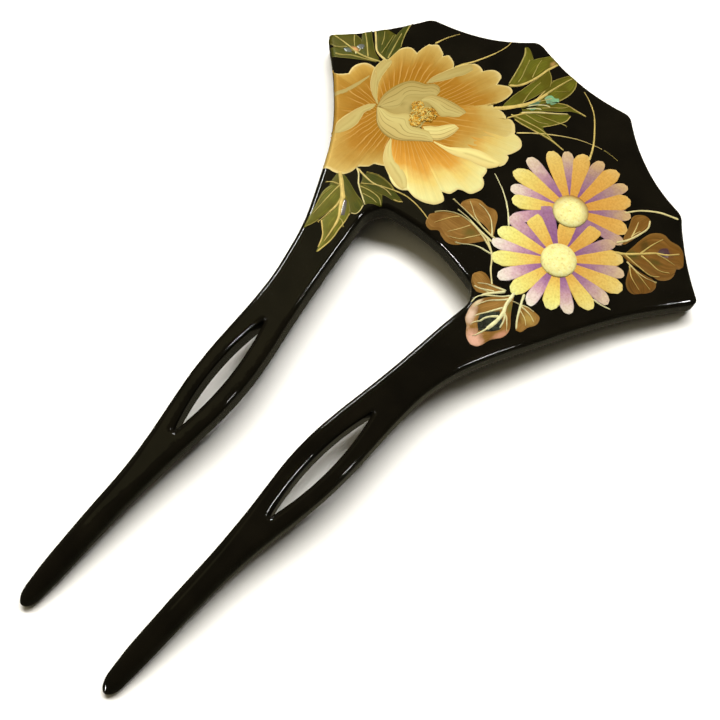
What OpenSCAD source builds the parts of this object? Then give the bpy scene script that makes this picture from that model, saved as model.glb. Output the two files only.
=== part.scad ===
// Fan-headed hair stick with two prongs, black lacquer with raised gold and colour flowers.
// X runs across the fan, Y from the prong tips to the fan's edge, Z up from the table it lies on.

/* [Overall] */
// Length from the prong tips to the fan's top points, before the stray in hand_rows
overall_l = 140; // [136:1:144]
// Thickness of the piece at its middle
mid_t = 5.4; // [4.8:0.1:6]
// Thickness at the fan's rim and at the prong tips
rim_t = 3.9; // [3.4:0.1:4.4]
// Radius of the hollow underside, which makes the piece arch over the hair
under_r = 600; // [500:10:900]

/* [Fan head] */
// Width over the two lowest points of the fan
fan_w = 86.6; // [84:0.2:90]
// Depth of the middle scallop
scallop_mid = 1.7; // [0.8:0.1:2]
// Depth of the scallops next to the middle one
scallop_next = 1.9; // [0.8:0.1:2.2]
// Depth of the outermost scallops
scallop_end = 1.0; // [0.6:0.1:1.8]
// How far the arch between the prongs lies above the middle of the piece
arch_y = 24.8; // [24:0.1:26]

/* [Prongs] */
// Length of the pierced eye in each prong
eye_l = 25; // [20:0.5:26]
// Width of the eye at its middle
eye_w = 3.2; // [2.4:0.1:3.4]
// Lean of the eye against the length of the piece
eye_lean = 3.3; // [2:0.1:4]
// Length of the prong end that thins towards its tip
taper_l = 30; // [20:1:34]
// Radius of the thinning on top of the prong end
taper_r = 150; // [120:5:220]

/* [Flowers] */
// Radius of the upper chrysanthemum, from its middle to its petal tips
upper_r = 12.2; // [11:0.1:12.6]
// Radius of the lower chrysanthemum
lower_r = 11.4; // [10.6:0.1:11.8]
// Radius of a chrysanthemum's raised middle
middle_r = 3.25; // [2.8:0.05:3.5]
// Height of a chrysanthemum's raised middle
middle_h = 0.9; // [0.6:0.1:1.2]
// Thickness of one layer of raised lacquer
layer_h = 0.16; // [0.12:0.01:0.24]

/* [Hidden] */

// Clearance between a layer of raised lacquer and what it lies on
seat = 0.02;
// Height to which plan shapes are raised before they are cut to the domed top
cut_h = 20;
// Reach of the dome from the middle, beyond every point of the plan
dome_reach = 86;
// Number of steps along one scallop, and the length of a step along a prong
scallop_n = 12;
edge_step = 2.4;

half_l = overall_l / 2;
half_w = fan_w / 2;
// Distance from the middle to the points that touch the table
foot_r = norm([12, half_l + 1.4]);
under_rise = foot_r * foot_r / (2 * under_r);
top_fall = under_rise + mid_t - rim_t;
top_r = foot_r * foot_r / (2 * top_fall);
top_z = under_rise + mid_t;

// Fan points on the right half, from the top: [x, y]
fan_points = [
  [11.6, half_l + 0.3],
  [31.0, half_l - 9.6],
  [half_w + 0.3, half_l - 23.3]
];
scallop_depths = [scallop_mid, scallop_next, scallop_end];
// Share of a scallop that is given up at each end to round a fan point
point_round = 0.07;

// Right prong and the head's side above it: [y, inner x, outer x]
// Above the arch only the outer x is used.
prong_rows = [
  [-66.5,  8.50, 12.00],
  [-62.0,  8.25, 12.35],
  [-54.0,  8.25, 12.65],
  [-46.0,  8.25, 12.95],
  [-40.0,  8.10, 13.35],
  [-34.0,  7.75, 14.10],
  [-28.0,  7.25, 15.05],
  [-22.0,  6.90, 15.90],
  [-16.0,  7.10, 16.35],
  [-10.0,  7.90, 16.45],
  [ -4.0,  9.00, 16.65],
  [  2.0, 10.00, 17.25],
  [  8.0, 10.80, 18.80],
  [ 14.0, 11.55, 21.40],
  [ 20.0, 12.40, 24.40],
  [ 26.0, 13.20, 27.75],
  [ 32.0, 14.00, 31.60],
  [ 38.0, 14.80, 36.00],
  [ 46.7, 16.00, half_w + 0.3]
];
// How far the piece, ground by hand, strays from its own mirror image: y, then the left side's
// stray in x of inner edges, in x of outer edges and in y, then the same for the right side
hand_rows = [
  [-72.0, -1.05, -1.05,  0.00, -0.80, -0.80, -0.95],
  [-66.0, -1.05, -1.05,  0.00, -0.80, -0.80, -0.90],
  [-60.0, -0.90, -0.90,  0.00, -0.70, -0.70, -0.60],
  [-50.0, -0.55, -0.55,  0.00, -0.50, -0.50, -0.30],
  [-40.0, -0.15, -0.15,  0.00, -0.12, -0.10,  0.00],
  [-30.0,  0.08,  0.08,  0.00,  0.28,  0.40,  0.00],
  [-20.0,  0.08,  0.08,  0.00,  0.35,  0.45,  0.00],
  [-10.0,  0.05,  0.00,  0.00,  0.38,  0.42,  0.00],
  [  0.0,  0.05, -0.10,  0.00,  0.28,  0.30,  0.00],
  [  5.0,  0.00, -0.15,  0.00,  0.24,  0.30,  0.00],
  [  8.5, -0.05,  0.10,  0.00,  0.20,  0.30,  0.00],
  [ 13.0, -0.10,  0.60,  0.00,  0.15,  0.30, -0.10],
  [ 18.0, -0.10,  0.70,  0.20,  0.15,  0.35, -0.40],
  [ 23.0,  0.00,  0.85,  0.35,  0.05,  0.28, -0.80],
  [ 27.5,  0.00,  0.95,  0.50,  0.00,  0.15, -0.65],
  [ 32.0,  0.00,  0.75,  0.30,  0.00,  0.05, -0.30],
  [ 37.0,  0.00,  0.10,  0.00,  0.00, -0.15,  0.10],
  [ 42.0,  0.00, -0.30, -0.45,  0.00, -0.35,  0.50],
  [ 46.7,  0.00, -0.45, -1.20,  0.00, -0.40,  0.90],
  [ 53.5, -0.10, -0.35,  0.35,  0.00, -0.25,  0.35],
  [ 60.4, -0.25, -0.25,  1.47, -0.38, -0.38, -0.46],
  [ 65.0, -0.50, -0.50,  1.45, -0.55, -0.55, -0.15],
  [ 70.3, -0.75, -0.75,  1.50, -0.75, -0.75,  0.25],
  [ 73.0, -0.75, -0.75,  1.50, -0.75, -0.75,  0.25]
];
// Inner edges lie within the first of these distances from the middle line, outer edges beyond
// the second. Left changes to right within hand_mid of the middle line.
hand_inner = 12.5;
hand_outer = 17;
hand_mid = 10;
// Round end of a prong, below the table's first row
tip_y = prong_rows[0][0];
tip_x = (prong_rows[0][1] + prong_rows[0][2]) / 2;
tip_half_w = (prong_rows[0][2] - prong_rows[0][1]) / 2;
tip_step = 15;
// Where the prong's inner edge turns into the arch
arch_corner = [12.7, 21.2];
arch_start = [10.4, 23.4];
corner_low_y = 18.5;
// Where the head's side edge begins, below the fan's lowest point
side_start = 45.4;
eye_at = [11.8, -19];
// Number of points on the rounded corner and on half of the arch
corner_n = 8;
arch_n = 8;

// Cubic curve through a table's rows, read at y: col is the column wanted
function row_at(tab, y, i = 0) = (i >= len(tab) - 2 || y <= tab[i + 1][0]) ? i : row_at(tab, y, i + 1);
function slope(tab, i, col) =
  let (a = max(i - 1, 0), b = min(i + 1, len(tab) - 1))
  (tab[b][col] - tab[a][col]) / (tab[b][0] - tab[a][0]);
function curve_at(tab, y, col) =
  let (
    i = row_at(tab, y),
    d = tab[i + 1][0] - tab[i][0],
    t = (y - tab[i][0]) / d
  )
  (2 * t * t * t - 3 * t * t + 1) * tab[i][col]
  + (t * t * t - 2 * t * t + t) * d * slope(tab, i, col)
  + (3 * t * t - 2 * t * t * t) * tab[i + 1][col]
  + (t * t * t - t * t) * d * slope(tab, i + 1, col);

// Points of a shallow bow from a to b, sagging by depth to the right of the way from a to b
function bow(a, b, depth, n, t0 = 0, t1 = 1) =
  let (way = (b - a) / norm(b - a), side = [way[1], -way[0]])
  [for (i = [0:n]) let (t = t0 + (t1 - t0) * i / n) a + (b - a) * t + side * depth * 4 * t * (1 - t)];
// Points of a rounded corner at c between a and b, both ends left out
function turn(a, c, b, n = 5) =
  [for (i = [1:n - 1]) let (t = i / n) a * (1 - t) * (1 - t) + c * 2 * t * (1 - t) + b * t * t];

// One scallop between two fan points, and the rounded point that follows it
function scallop(i) =
  let (a = i == 0 ? [-fan_points[0][0], fan_points[0][1]] : fan_points[i - 1])
  bow(a, fan_points[i], scallop_depths[i], scallop_n, i == 0 ? 0.5 : point_round, 1 - point_round);
function side_edge(y0, y1, col, step) =
  let (n = ceil(abs(y1 - y0) / step))
  [for (i = [0:n]) let (y = y0 + (y1 - y0) * i / n) [curve_at(prong_rows, y, col), y]];
function fan_half() =
  let (
    s0 = scallop(0),
    s1 = scallop(1),
    s2 = scallop(2),
    side = side_edge(side_start, tip_y, 2, edge_step)
  )
  concat(
    s0, turn(s0[scallop_n], fan_points[0], s1[0]),
    s1, turn(s1[scallop_n], fan_points[1], s2[0]),
    s2, turn(s2[scallop_n], fan_points[2], side[0]),
    side
  );
function tip_half() =
  [for (a = [tip_step:tip_step:180 - tip_step])
    [tip_x + tip_half_w * cos(a), tip_y - (tip_y + half_l) * sin(a)]];
function arch_half() =
  let (low = [curve_at(prong_rows, corner_low_y, 1), corner_low_y])
  concat(
    [low], turn(low, arch_corner, arch_start, corner_n), [arch_start],
    [for (i = [1:arch_n - 1]) let (t = 1 - i / arch_n)
      [arch_start[0] * t, arch_y - (arch_y - arch_start[1]) * t * t]]
  );
function half_outline() =
  concat(fan_half(), tip_half(), side_edge(tip_y, corner_low_y - edge_step, 1, edge_step), arch_half());
function mirrored(p) = [for (i = [len(p) - 1:-1:1]) [-p[i][0], p[i][1]]];

// Moves a point of the symmetric outline to where the piece has it
function part_of(v, low, high) = min(max((v - low) / (high - low), 0), 1);
function hand_ground(p) =
  let (
    right = part_of(p[0], -hand_mid, hand_mid),
    out = part_of(abs(p[0]), hand_inner, hand_outer),
    c = [for (k = [1:6]) curve_at(hand_rows, p[1], k)]
  )
  p + (1 - right) * [c[0] + (c[1] - c[0]) * out, c[2]] + right * [c[3] + (c[4] - c[3]) * out, c[5]];

module plan() {
  right = half_outline();
  difference() {
    polygon([for (p = concat(right, [[0, arch_y]], mirrored(right))) hand_ground(p)]);
    for (s = [-1, 1])
      let (eye = [s * eye_at[0], eye_at[1]])
        translate(hand_ground(eye) - eye) on_side(s) eye_plan();
  }
}

module on_side(s) {
  if (s < 0) mirror([1, 0]) children();
  else children();
}

// The eye is the lens shared by two large circles
module eye_plan() {
  r = (eye_l * eye_l / 4 + eye_w * eye_w / 4) / eye_w;
  translate(eye_at) rotate(-eye_lean) intersection() {
    translate([r - eye_w / 2, 0]) circle(r = r, $fn = 240);
    translate([eye_w / 2 - r, 0]) circle(r = r, $fn = 240);
  }
}

// Round plate whose top is a part of a large sphere, raised by lift
module dome(r, z, lift) {
  rotate_extrude($fn = 240)
    intersection() {
      translate([0, z - r + lift]) circle(r = r, $fn = 1800);
      square([dome_reach, cut_h]);
    }
}

// Keeps the prong ends below a long curve, so that they thin towards the tips
module tip_thinning() {
  y0 = -half_l + taper_l;
  z0 = top_z - y0 * y0 / (2 * top_r);
  lean = asin(-y0 / top_r);
  translate([-half_l, y0, 0]) cube([overall_l, overall_l, cut_h]);
  translate([0, y0 + taper_r * sin(lean), z0 - taper_r * cos(lean)])
    rotate([0, 90, 0])
      cylinder(h = overall_l, r = taper_r, center = true, $fn = 1440);
}

module body() {
  color([0.06, 0.055, 0.045])
  intersection() {
    linear_extrude(cut_h) plan();
    difference() {
      dome(top_r, top_z, 0);
      translate([0, 0, under_rise - under_r]) sphere(r = under_r, $fn = 720);
    }
    tip_thinning();
  }
}

// Layer of raised lacquer in the shape of the children, on the head's domed top
module layer(level, h = layer_h) {
  intersection() {
    linear_extrude(cut_h) intersection() {
      children();
      plan();
    }
    difference() {
      dome(top_r, top_z, seat + level * layer_h + h);
      dome(top_r, top_z, (1 + level) * seat + level * layer_h);
    }
  }
}

// Petal or leaf along +X: length, width, where it is widest from 0 to 1, and its tip's bluntness
module blade(l, w, wide = 0.5, blunt = 0.5, n = 9) {
  top = [for (i = [0:n]) let (t = i / n, u = t < wide ? t / wide / 2 : 0.5 + (t - wide) / (1 - wide) / 2)
         [t * l, w / 2 * pow(sin(180 * u), t < wide ? 0.8 : blunt)]];
  polygon(concat(top, [for (i = [n - 1:-1:1]) [top[i][0], -top[i][1]]]));
}

// Rows of blades: [x, y, direction, length, width, widest, bluntness]
module blades(rows) {
  for (r = rows)
    translate([r[0], r[1]]) rotate(r[2]) blade(r[3], r[4], r[5], r[6]);
}

// Broad petals round the peony: [x, y, direction, length, width, widest, bluntness]
peony_rows = [
  [-22, 43, 126, 15.5, 12.5, 0.66, 0.45],
  [-20, 44,  78, 15.0, 13.0, 0.70, 0.45],
  [-18, 44,  28, 18.5, 13.0, 0.66, 0.45],
  [-19, 41, 352, 18.5, 13.0, 0.66, 0.45],
  [-20, 39, 318, 19.0, 15.0, 0.66, 0.45],
  [-21, 40, 262, 17.0, 12.0, 0.66, 0.45],
  [-22, 41, 222, 17.5, 13.0, 0.60, 0.45],
  [-22, 42, 172, 13.0,  7.5, 0.60, 0.45]
];
// Petal rims that are turned over: [x, y, direction, length, width, widest, bluntness]
fold_rows = [
  [-22.2, 48.8,  62, 11.0, 2.8, 0.55, 0.8],
  [-25.6, 39.2, 126, 10.0, 2.6, 0.45, 0.7],
  [-25.8, 38.8, 253, 10.0, 3.2, 0.55, 0.7],
  [-19.2, 35.2, 306,  7.6, 2.4, 0.55, 0.7],
  [-13.2, 39.8,  18, 13.2, 3.0, 0.70, 0.7]
];
// Cupped petals round the stamens: [x, y, direction, length, width, widest, bluntness]
cup_rows = [
  [-22.5, 38.5, 98, 11.5,  7.5, 0.50, 0.5],
  [-26.0, 39.0, 350, 13.5, 7.6, 0.50, 0.6],
  [-19.6, 47.2,  6,  7.4,  3.6, 0.60, 0.6],
  [-16.0, 38.6, 62,  8.4,  4.2, 0.50, 0.6]
];
// Round tufts of the stamens: [x, y, radius]
stamen_rows = [
  [-19.6, 43.7, 1.6],
  [-17.0, 43.9, 1.7],
  [-18.2, 41.6, 1.9]
];

module peony_petals() {
  color([0.85, 0.63, 0.28]) layer(0) blades(peony_rows);
}
module peony_folds() {
  color([0.87, 0.78, 0.5]) layer(1) blades(fold_rows);
}
module peony_cup() {
  color([0.83, 0.74, 0.46]) layer(1) difference() {
    blades(cup_rows);
    blades_clear(fold_rows);
    for (r = stamen_rows) translate([r[0], r[1]]) circle(r = r[2] + seat, $fn = 48);
  }
}
module peony_stamens() {
  color([0.8, 0.58, 0.2]) layer(1, 3 * layer_h)
    for (r = stamen_rows) translate([r[0], r[1]]) circle(r = r[2], $fn = 48);
}

// Chrysanthemum: middle, radius, number of petals and direction of the first gold petal
upper_at = [14.8, 45.9];
upper_n = 22;
upper_start = 182;
lower_at = [19.4, 36.4];
lower_n = 20;
lower_start = 190;
// Width of a petal as a share of its step on the rim, and where it starts under the middle
petal_share = 0.8;
petal_root = middle_r - 0.6;
// Gap that parts a purple petal from the gold ones beside it
petal_gap = 0.12;

// Every second petal of a chrysanthemum from first on, moved sideways by shift
module petals(r, n, first, start, shift = 0) {
  for (i = [first:2:n - 1])
    rotate(start - i * 360 / n)
      translate([petal_root, shift])
        blade(r - petal_root, petal_share * 2 * r * tan(180 / n), 0.72, 0.42, 10);
}
// Gold petals, or the purple ones that show between them
module chrysanthemum_plan(at, r, n, start, gold) {
  translate(at)
    if (gold) petals(r, n, 0, start);
    else difference() {
      petals(r, n, 1, start);
      for (s = [-1, 1]) petals(r, n, 0, start, s * petal_gap);
    }
}
module middle_plan(at) {
  translate(at) circle(r = middle_r + seat, $fn = 96);
}
module upper_petals(gold) {
  layer(0) difference() {
    chrysanthemum_plan(upper_at, upper_r, upper_n, upper_start, gold);
    middle_plan(upper_at);
    translate(lower_at) circle(r = lower_r + seat, $fn = 96);
  }
}
module lower_petals(gold) {
  layer(0) difference() {
    chrysanthemum_plan(lower_at, lower_r, lower_n, lower_start, gold);
    middle_plan(upper_at);
    middle_plan(lower_at);
  }
}
// Middle of a chrysanthemum: a low round cap, square to the head's domed top
module chrysanthemum_middle(at) {
  cap_r = (middle_r * middle_r + middle_h * middle_h) / (2 * middle_h);
  lean = asin(at[1] / top_r);
  translate([0, 0, top_z - top_r])
    rotate([-lean, asin(at[0] / (top_r * cos(lean))), 0])
      translate([0, 0, top_r + seat])
        rotate_extrude($fn = 96)
          intersection() {
            translate([0, layer_h + middle_h - cap_r]) circle(r = cap_r, $fn = 240);
            square([middle_r - seat, middle_h + layer_h]);
          }
}

module upper_chrysanthemum_gold() { color([0.86, 0.66, 0.3]) upper_petals(true); }
module upper_chrysanthemum_purple() { color([0.62, 0.48, 0.68]) upper_petals(false); }
module upper_chrysanthemum_middle() { color([0.88, 0.8, 0.5]) chrysanthemum_middle(upper_at); }
module lower_chrysanthemum_gold() { color([0.88, 0.7, 0.34]) lower_petals(true); }
module lower_chrysanthemum_purple() { color([0.66, 0.52, 0.72]) lower_petals(false); }
module lower_chrysanthemum_middle() { color([0.9, 0.83, 0.55]) chrysanthemum_middle(lower_at); }

// Green leaves: [x, y, direction, length, width, widest, bluntness]
green_rows = [
  [-31.2, 48.6, 105,  9.4, 3.8, 0.40, 0.9],
  [-31.8, 48.6, 140,  7.6, 3.6, 0.50, 0.6],
  [-32.4, 46.9, 147,  7.6, 2.6, 0.50, 0.8],
  [-32.4, 46.6, 183, 11.4, 4.2, 0.55, 0.7],
  [-33.0, 45.2, 204,  7.8, 2.0, 0.50, 0.8],
  [ -9.8, 59.4, 106, 10.0, 3.2, 0.55, 0.8],
  [ -9.0, 60.0,  82, 10.6, 4.2, 0.60, 0.6],
  [ -8.0, 54.6,  79, 13.4, 3.8, 0.60, 0.7],
  [ -5.6, 57.2,  66, 13.4, 5.0, 0.60, 0.5],
  [ -4.8, 57.4,  38,  9.4, 2.6, 0.60, 0.9],
  [ -5.0, 56.2,  32,  9.4, 4.2, 0.60, 0.6],
  [ -5.2, 54.8,   4,  9.0, 1.8, 0.55, 0.9],
  [-19.6, 26.4,   0, 10.2, 3.6, 0.45, 0.8],
  [-19.4, 25.2, 314,  7.0, 4.0, 0.50, 0.7],
  [-20.2, 25.0, 277, 14.6, 4.4, 0.62, 0.8],
  [-18.6, 22.6, 294, 12.8, 4.6, 0.45, 0.8],
  [-20.4, 25.0, 236,  5.0, 2.4, 0.50, 0.8]
];
// Brown and copper leaves: [x, y, direction, length, width, widest, bluntness]
brown_rows = [
  [ 25.8, 47.6,  96,  7.4, 3.8, 0.62, 0.40],
  [ 26.6, 45.6,  58,  9.6, 5.2, 0.66, 0.40],
  [ 26.8, 45.4,  28, 11.0, 5.4, 0.66, 0.40],
  [ 28.8, 45.0, 322,  7.2, 4.2, 0.66, 0.40],
  [  8.0, 31.8, 150,  9.6, 5.0, 0.66, 0.40],
  [  8.2, 31.2, 200, 12.0, 5.0, 0.66, 0.40],
  [ 16.2, 25.4, 186,  6.4, 3.0, 0.66, 0.40],
  [ 17.8, 25.8, 250, 12.0, 5.2, 0.70, 0.40],
  [ 17.8, 25.8, 282, 10.4, 4.8, 0.70, 0.40],
  [ 19.8, 26.0, 322,  5.6, 3.6, 0.66, 0.40]
];
module green_leaves() {
  color([0.36, 0.38, 0.16]) layer(0) difference() {
    blades(green_rows);
    blades_clear(peony_rows);
  }
}
module brown_leaves() {
  color([0.45, 0.3, 0.2]) layer(0) difference() {
    blades(brown_rows);
    flower_discs();
  }
}
// Round the two chrysanthemums, a little larger than they are
module flower_discs() {
  translate(upper_at) circle(r = upper_r + 0.2, $fn = 96);
  translate(lower_at) circle(r = lower_r + 0.2, $fn = 96);
}
// The petals' shapes, a little larger, which keep a neighbour off them
module blades_clear(rows) {
  for (r = rows)
    translate([r[0], r[1]]) rotate(r[2]) translate([-0.15, 0])
      blade(r[3] + 0.35, r[4] + 0.3, r[5], r[6]);
}

// Blades of grass in gold line: [x, y, end x, end y, bow to the right, width]
grass_rows = [
  [-26.8, 57.4, -24.8, 61.8,  0.3, 0.35],
  [-19.4, 56.4, -16.2, 67.6, -1.1, 0.45],
  [ 11.2, 56.6,   1.2, 68.2,  1.6, 0.40],
  [ -2.6, 51.8,  11.4, 60.2, -1.2, 0.40],
  [ 22.6, 52.4,  30.8, 58.4, -0.6, 0.45],
  [  7.6, 36.2,  -0.2, 42.4,  0.4, 0.40],
  [  9.6, 29.6,  13.2, 24.8,  0.2, 0.40],
  [-13.6, 27.2,  -2.8, 27.0, -1.2, 0.40],
  [ 28.8, 34.7,  32.0, 35.4,  0.1, 0.40]
];
module gold_grass() {
  color([0.85, 0.72, 0.4]) layer(0) difference() {
    for (r = grass_rows) {
      line = bow([r[0], r[1]], [r[2], r[3]], r[4], 8);
      back = bow([r[0], r[1]], [r[2], r[3]], r[4] + r[5], 8);
      polygon(concat(line, [for (i = [7:-1:1]) back[i]]));
    }
    blades_clear(peony_rows);
    blades_clear(green_rows);
    blades_clear(brown_rows);
    flower_discs();
  }
}

// Chips of shell laid on the leaves: [x, y, length, width, direction]
shell_rows = [
  [-37.2, 46.6, 3.0, 1.5,  40],
  [ -2.6, 62.2, 4.2, 2.0,  60],
  [ -3.4, 59.4, 3.0, 1.2,  50],
  [ 31.4, 49.4, 3.2, 2.0,  30],
  [-17.4, 22.4, 2.6, 1.3, 300],
  [ 17.0, 20.6, 2.8, 1.8, 260]
];
module shell_inlays() {
  color([0.45, 0.65, 0.6]) layer(1, layer_h / 2)
    for (r = shell_rows)
      translate([r[0], r[1]]) rotate(r[4]) translate([-r[2] / 2, 0]) blade(r[2], r[3], 0.5, 0.7, 6);
}

body();
peony_petals();
peony_folds();
peony_cup();
peony_stamens();
upper_chrysanthemum_gold();
upper_chrysanthemum_purple();
upper_chrysanthemum_middle();
lower_chrysanthemum_gold();
lower_chrysanthemum_purple();
lower_chrysanthemum_middle();
green_leaves();
brown_leaves();
gold_grass();
shell_inlays();
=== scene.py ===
# %% [markdown]
# A kanzashi is a stick that holds up a knot of hair. This one has a fan-shaped head and two wavy
# prongs, each pierced by a slim eye. It is one piece of wood under black lacquer, with flowers laid
# on the head in gold, colour and shell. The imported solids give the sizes. Here the piece gets its
# rounded shoulders, its gloss and its flowers, around the same solids and in the same place.

# %% Frame
import math
import bmesh
import bpy
import numpy as np
from mathutils import Matrix, Vector


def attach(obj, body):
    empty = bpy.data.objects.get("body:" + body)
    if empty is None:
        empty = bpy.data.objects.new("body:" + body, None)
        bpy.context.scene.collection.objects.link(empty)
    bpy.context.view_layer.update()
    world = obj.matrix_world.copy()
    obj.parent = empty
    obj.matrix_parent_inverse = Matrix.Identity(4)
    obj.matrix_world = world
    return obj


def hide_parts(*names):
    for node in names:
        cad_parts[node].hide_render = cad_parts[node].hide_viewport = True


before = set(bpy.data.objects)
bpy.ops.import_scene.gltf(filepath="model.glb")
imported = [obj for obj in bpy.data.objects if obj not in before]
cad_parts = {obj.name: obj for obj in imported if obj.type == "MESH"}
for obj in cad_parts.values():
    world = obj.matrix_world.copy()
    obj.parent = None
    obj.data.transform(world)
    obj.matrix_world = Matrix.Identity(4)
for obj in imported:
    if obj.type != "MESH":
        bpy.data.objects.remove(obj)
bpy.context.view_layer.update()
MM = 0.001
print("solids loaded:", len(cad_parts))

# %% [markdown]
# The camera comes first, because every finish is judged through it. It hangs over the right prong
# and looks down at the head, turned so that the prongs run to the lower left of the picture. A
# point gives its place, and two directions at right angles give its turn.

# %% Camera
CAMERA_AT = Vector((42.47, -40.29, 192.08)) * MM
CAMERA_RIGHT = Vector((0.7519, 0.6591, -0.0126))
CAMERA_UP = Vector((-0.6294, 0.7235, 0.2836))
CAMERA_LENS, SENSOR_W = 55.0, 36.0


def turned(right, up):
    """Rotation whose X is right and whose Y is up."""
    right = right.normalized()
    back = right.cross(up).normalized()
    up = back.cross(right)
    return Matrix((right, up, back)).transposed().to_4x4()


bpy.ops.object.camera_add(location=CAMERA_AT)
camera = bpy.context.object
camera.name = "photo_camera"
camera.matrix_world = Matrix.Translation(CAMERA_AT) @ turned(CAMERA_RIGHT, CAMERA_UP)
camera.data.lens = CAMERA_LENS
camera.data.sensor_width = SENSOR_W
camera.data.clip_start = 5 * MM
bpy.context.scene.camera = camera
bpy.context.scene.view_settings.view_transform = "Standard"
print("camera", CAMERA_LENS, "mm at", [round(c, 4) for c in CAMERA_AT])

# %% [markdown]
# A shader is a small network of nodes. These helpers add a node, set its sockets by name and join
# it to others, so that each finish below reads as a short recipe from pattern to surface.

# %% Shader helpers
# Share of the light that the brightest paint gives back, under lamps that make paper white
PAINT_SHARE = 0.575


def shader_nodes(name):
    """New material with an empty Principled surface: the material, its tree and the surface."""
    material = bpy.data.materials.new(name)
    material.use_nodes = True
    tree = material.node_tree
    return material, tree, tree.nodes["Principled BSDF"]


def rgb(code):
    """Linear paint colour that looks like the screen colour code under this scene's strong light."""
    parts = [(code >> shift & 255) / 255 for shift in (16, 8, 0)]
    return tuple(PAINT_SHARE * (c / 12.92 if c < 0.04045 else ((c + 0.055) / 1.055) ** 2.4) for c in parts)


def four_parts(colour):
    """A colour as nodes store it, from a grey (a float), a screen code (an int) or three parts."""
    if isinstance(colour, float):
        colour = (colour,) * 3
    return (*(rgb(colour) if isinstance(colour, int) else colour), 1)


def put(tree, value, socket):
    """Joins value to the socket if value is a socket itself, or else sets it there."""
    if isinstance(value, bpy.types.NodeSocket):
        tree.links.new(value, socket)
    else:
        socket.default_value = four_parts(value) if socket.type == "RGBA" else value


def wire(tree, node, **values):
    """Puts values into the sockets of a node by name, with _ for each space."""
    for key, value in values.items():
        put(tree, value, node.inputs[key.replace("_", " ")])


def add_node(tree, kind, settings=(), **values):
    """Adds a node: settings are its properties, values go into its sockets."""
    node = tree.nodes.new(kind)
    for key, value in dict(settings).items():
        setattr(node, key, value)
    wire(tree, node, **values)
    return node


def ramp(tree, factor, *stops):
    """Colour ramp over factor: stops are (position, colour)."""
    node = add_node(tree, "ShaderNodeValToRGB", Fac=factor)
    elements = node.color_ramp.elements
    while len(elements) < len(stops):
        elements.new(0.5)
    for element, (position, colour) in zip(elements, stops):
        element.position = position
        element.color = four_parts(colour)
    return node.outputs["Color"]


def maths(tree, operation, a, b=0.0, clamp=False):
    """One sum on two values or sockets."""
    node = add_node(tree, "ShaderNodeMath", {"operation": operation, "use_clamp": clamp})
    put(tree, a, node.inputs[0])
    put(tree, b, node.inputs[1])
    return node.outputs[0]


def mixed(tree, factor, a, b, blend="MIX"):
    """Mix of two colours, each a colour or a socket."""
    node = add_node(tree, "ShaderNodeMix", {"data_type": "RGBA", "blend_type": blend})
    for index, value in ((0, factor), (6, a), (7, b)):
        put(tree, value, node.inputs[index])
    return node.outputs[2]


def shaded(tree, colour, pattern, *stops):
    """The colour, made darker or brighter by a ramp over a pattern."""
    return mixed(tree, 1.0, colour, ramp(tree, pattern, *stops), "MULTIPLY")


def object_place(tree):
    """The place on the object, in metres."""
    return add_node(tree, "ShaderNodeTexCoord").outputs["Object"]


def noise(tree, scale, detail=2.0, at=None, **values):
    """Noise with scale in cells a metre of the object, or in cells of another vector."""
    place = object_place(tree) if at is None else at
    return add_node(tree, "ShaderNodeTexNoise", Vector=place, Scale=scale, Detail=detail,
                    **values).outputs["Fac"]


def bumped(tree, height, strength, distance):
    """Normal of a surface that follows height."""
    bump = add_node(tree, "ShaderNodeBump", Height=height, Strength=strength, Distance=distance)
    return bump.outputs["Normal"]


print("the brightest paint:", [round(part, 3) for part in rgb(0xFFFFFF)])

# %% [markdown]
# A plain pale floor lies under the prong tips. A long soft lamp stands across the prongs, beyond
# the top of the picture, so that the eyes and the arch get soft shadows, and a weak warm lamp fills
# them. Black lacquer mirrors all that is bright. So these lamps and the floor leave no image in it,
# the sky is dark, and thin lamps of their own draw the bright lines on the rounded edges. A wide,
# very dim panel lets the lacquer of the prongs look faintly warm instead of quite black.

# %% Floor and light
FLOOR_HALF = 1.5
LOOK_AT = Vector((0, 12, 4)) * MM
WHITE = (1.0, 1.0, 1.0)
# Name, place in metres from LOOK_AT, width and height, power, colour, and whether it is mirrored
LAMPS = [
    ("soft_key", (-0.17, 0.33, 0.71), (0.76, 0.22), 12.4, (1.0, 0.975, 0.92), False),
    ("soft_fill", (-0.30, -0.05, 0.62), (0.9, 0.9), 1.2, (1.0, 0.86, 0.50), False),
    ("side_panel", (-0.37, 0.02, 0.75), (0.90, 0.28), 0.30, (1.0, 0.93, 0.46), True),
    ("left_prong_line", (0.38, 0.32, 0.62), (0.11, 0.03), 2.6, WHITE, True),
    ("right_prong_line", (-0.52, 0.22, 0.57), (0.25, 0.03), 5.0, WHITE, True),
    ("right_neck_line", (0.56, -0.01, 0.655), (0.04, 0.03), 0.9, WHITE, True),
    ("arch_line", (-0.31, -0.63, 0.38), (0.12, 0.03), 4.8, WHITE, True)]


def studio_lamp(name, place, size, power, colour, mirrored):
    """Rectangular lamp that faces the head.

    A mirrored lamp is only seen as a bright line in the lacquer, and the others only light the
    piece and leave no image of themselves, as behind crossed polarising filters."""
    bpy.ops.object.light_add(type="AREA", location=LOOK_AT + Vector(place))
    lamp = bpy.context.object
    lamp.name = name
    lamp.rotation_euler = Vector(place).to_track_quat("Z", "Y").to_euler()
    lamp.data.shape = "RECTANGLE"
    lamp.data.size, lamp.data.size_y = size
    lamp.data.energy = power
    lamp.data.color = colour
    lamp.visible_glossy = mirrored
    lamp.visible_diffuse = not mirrored


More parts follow.
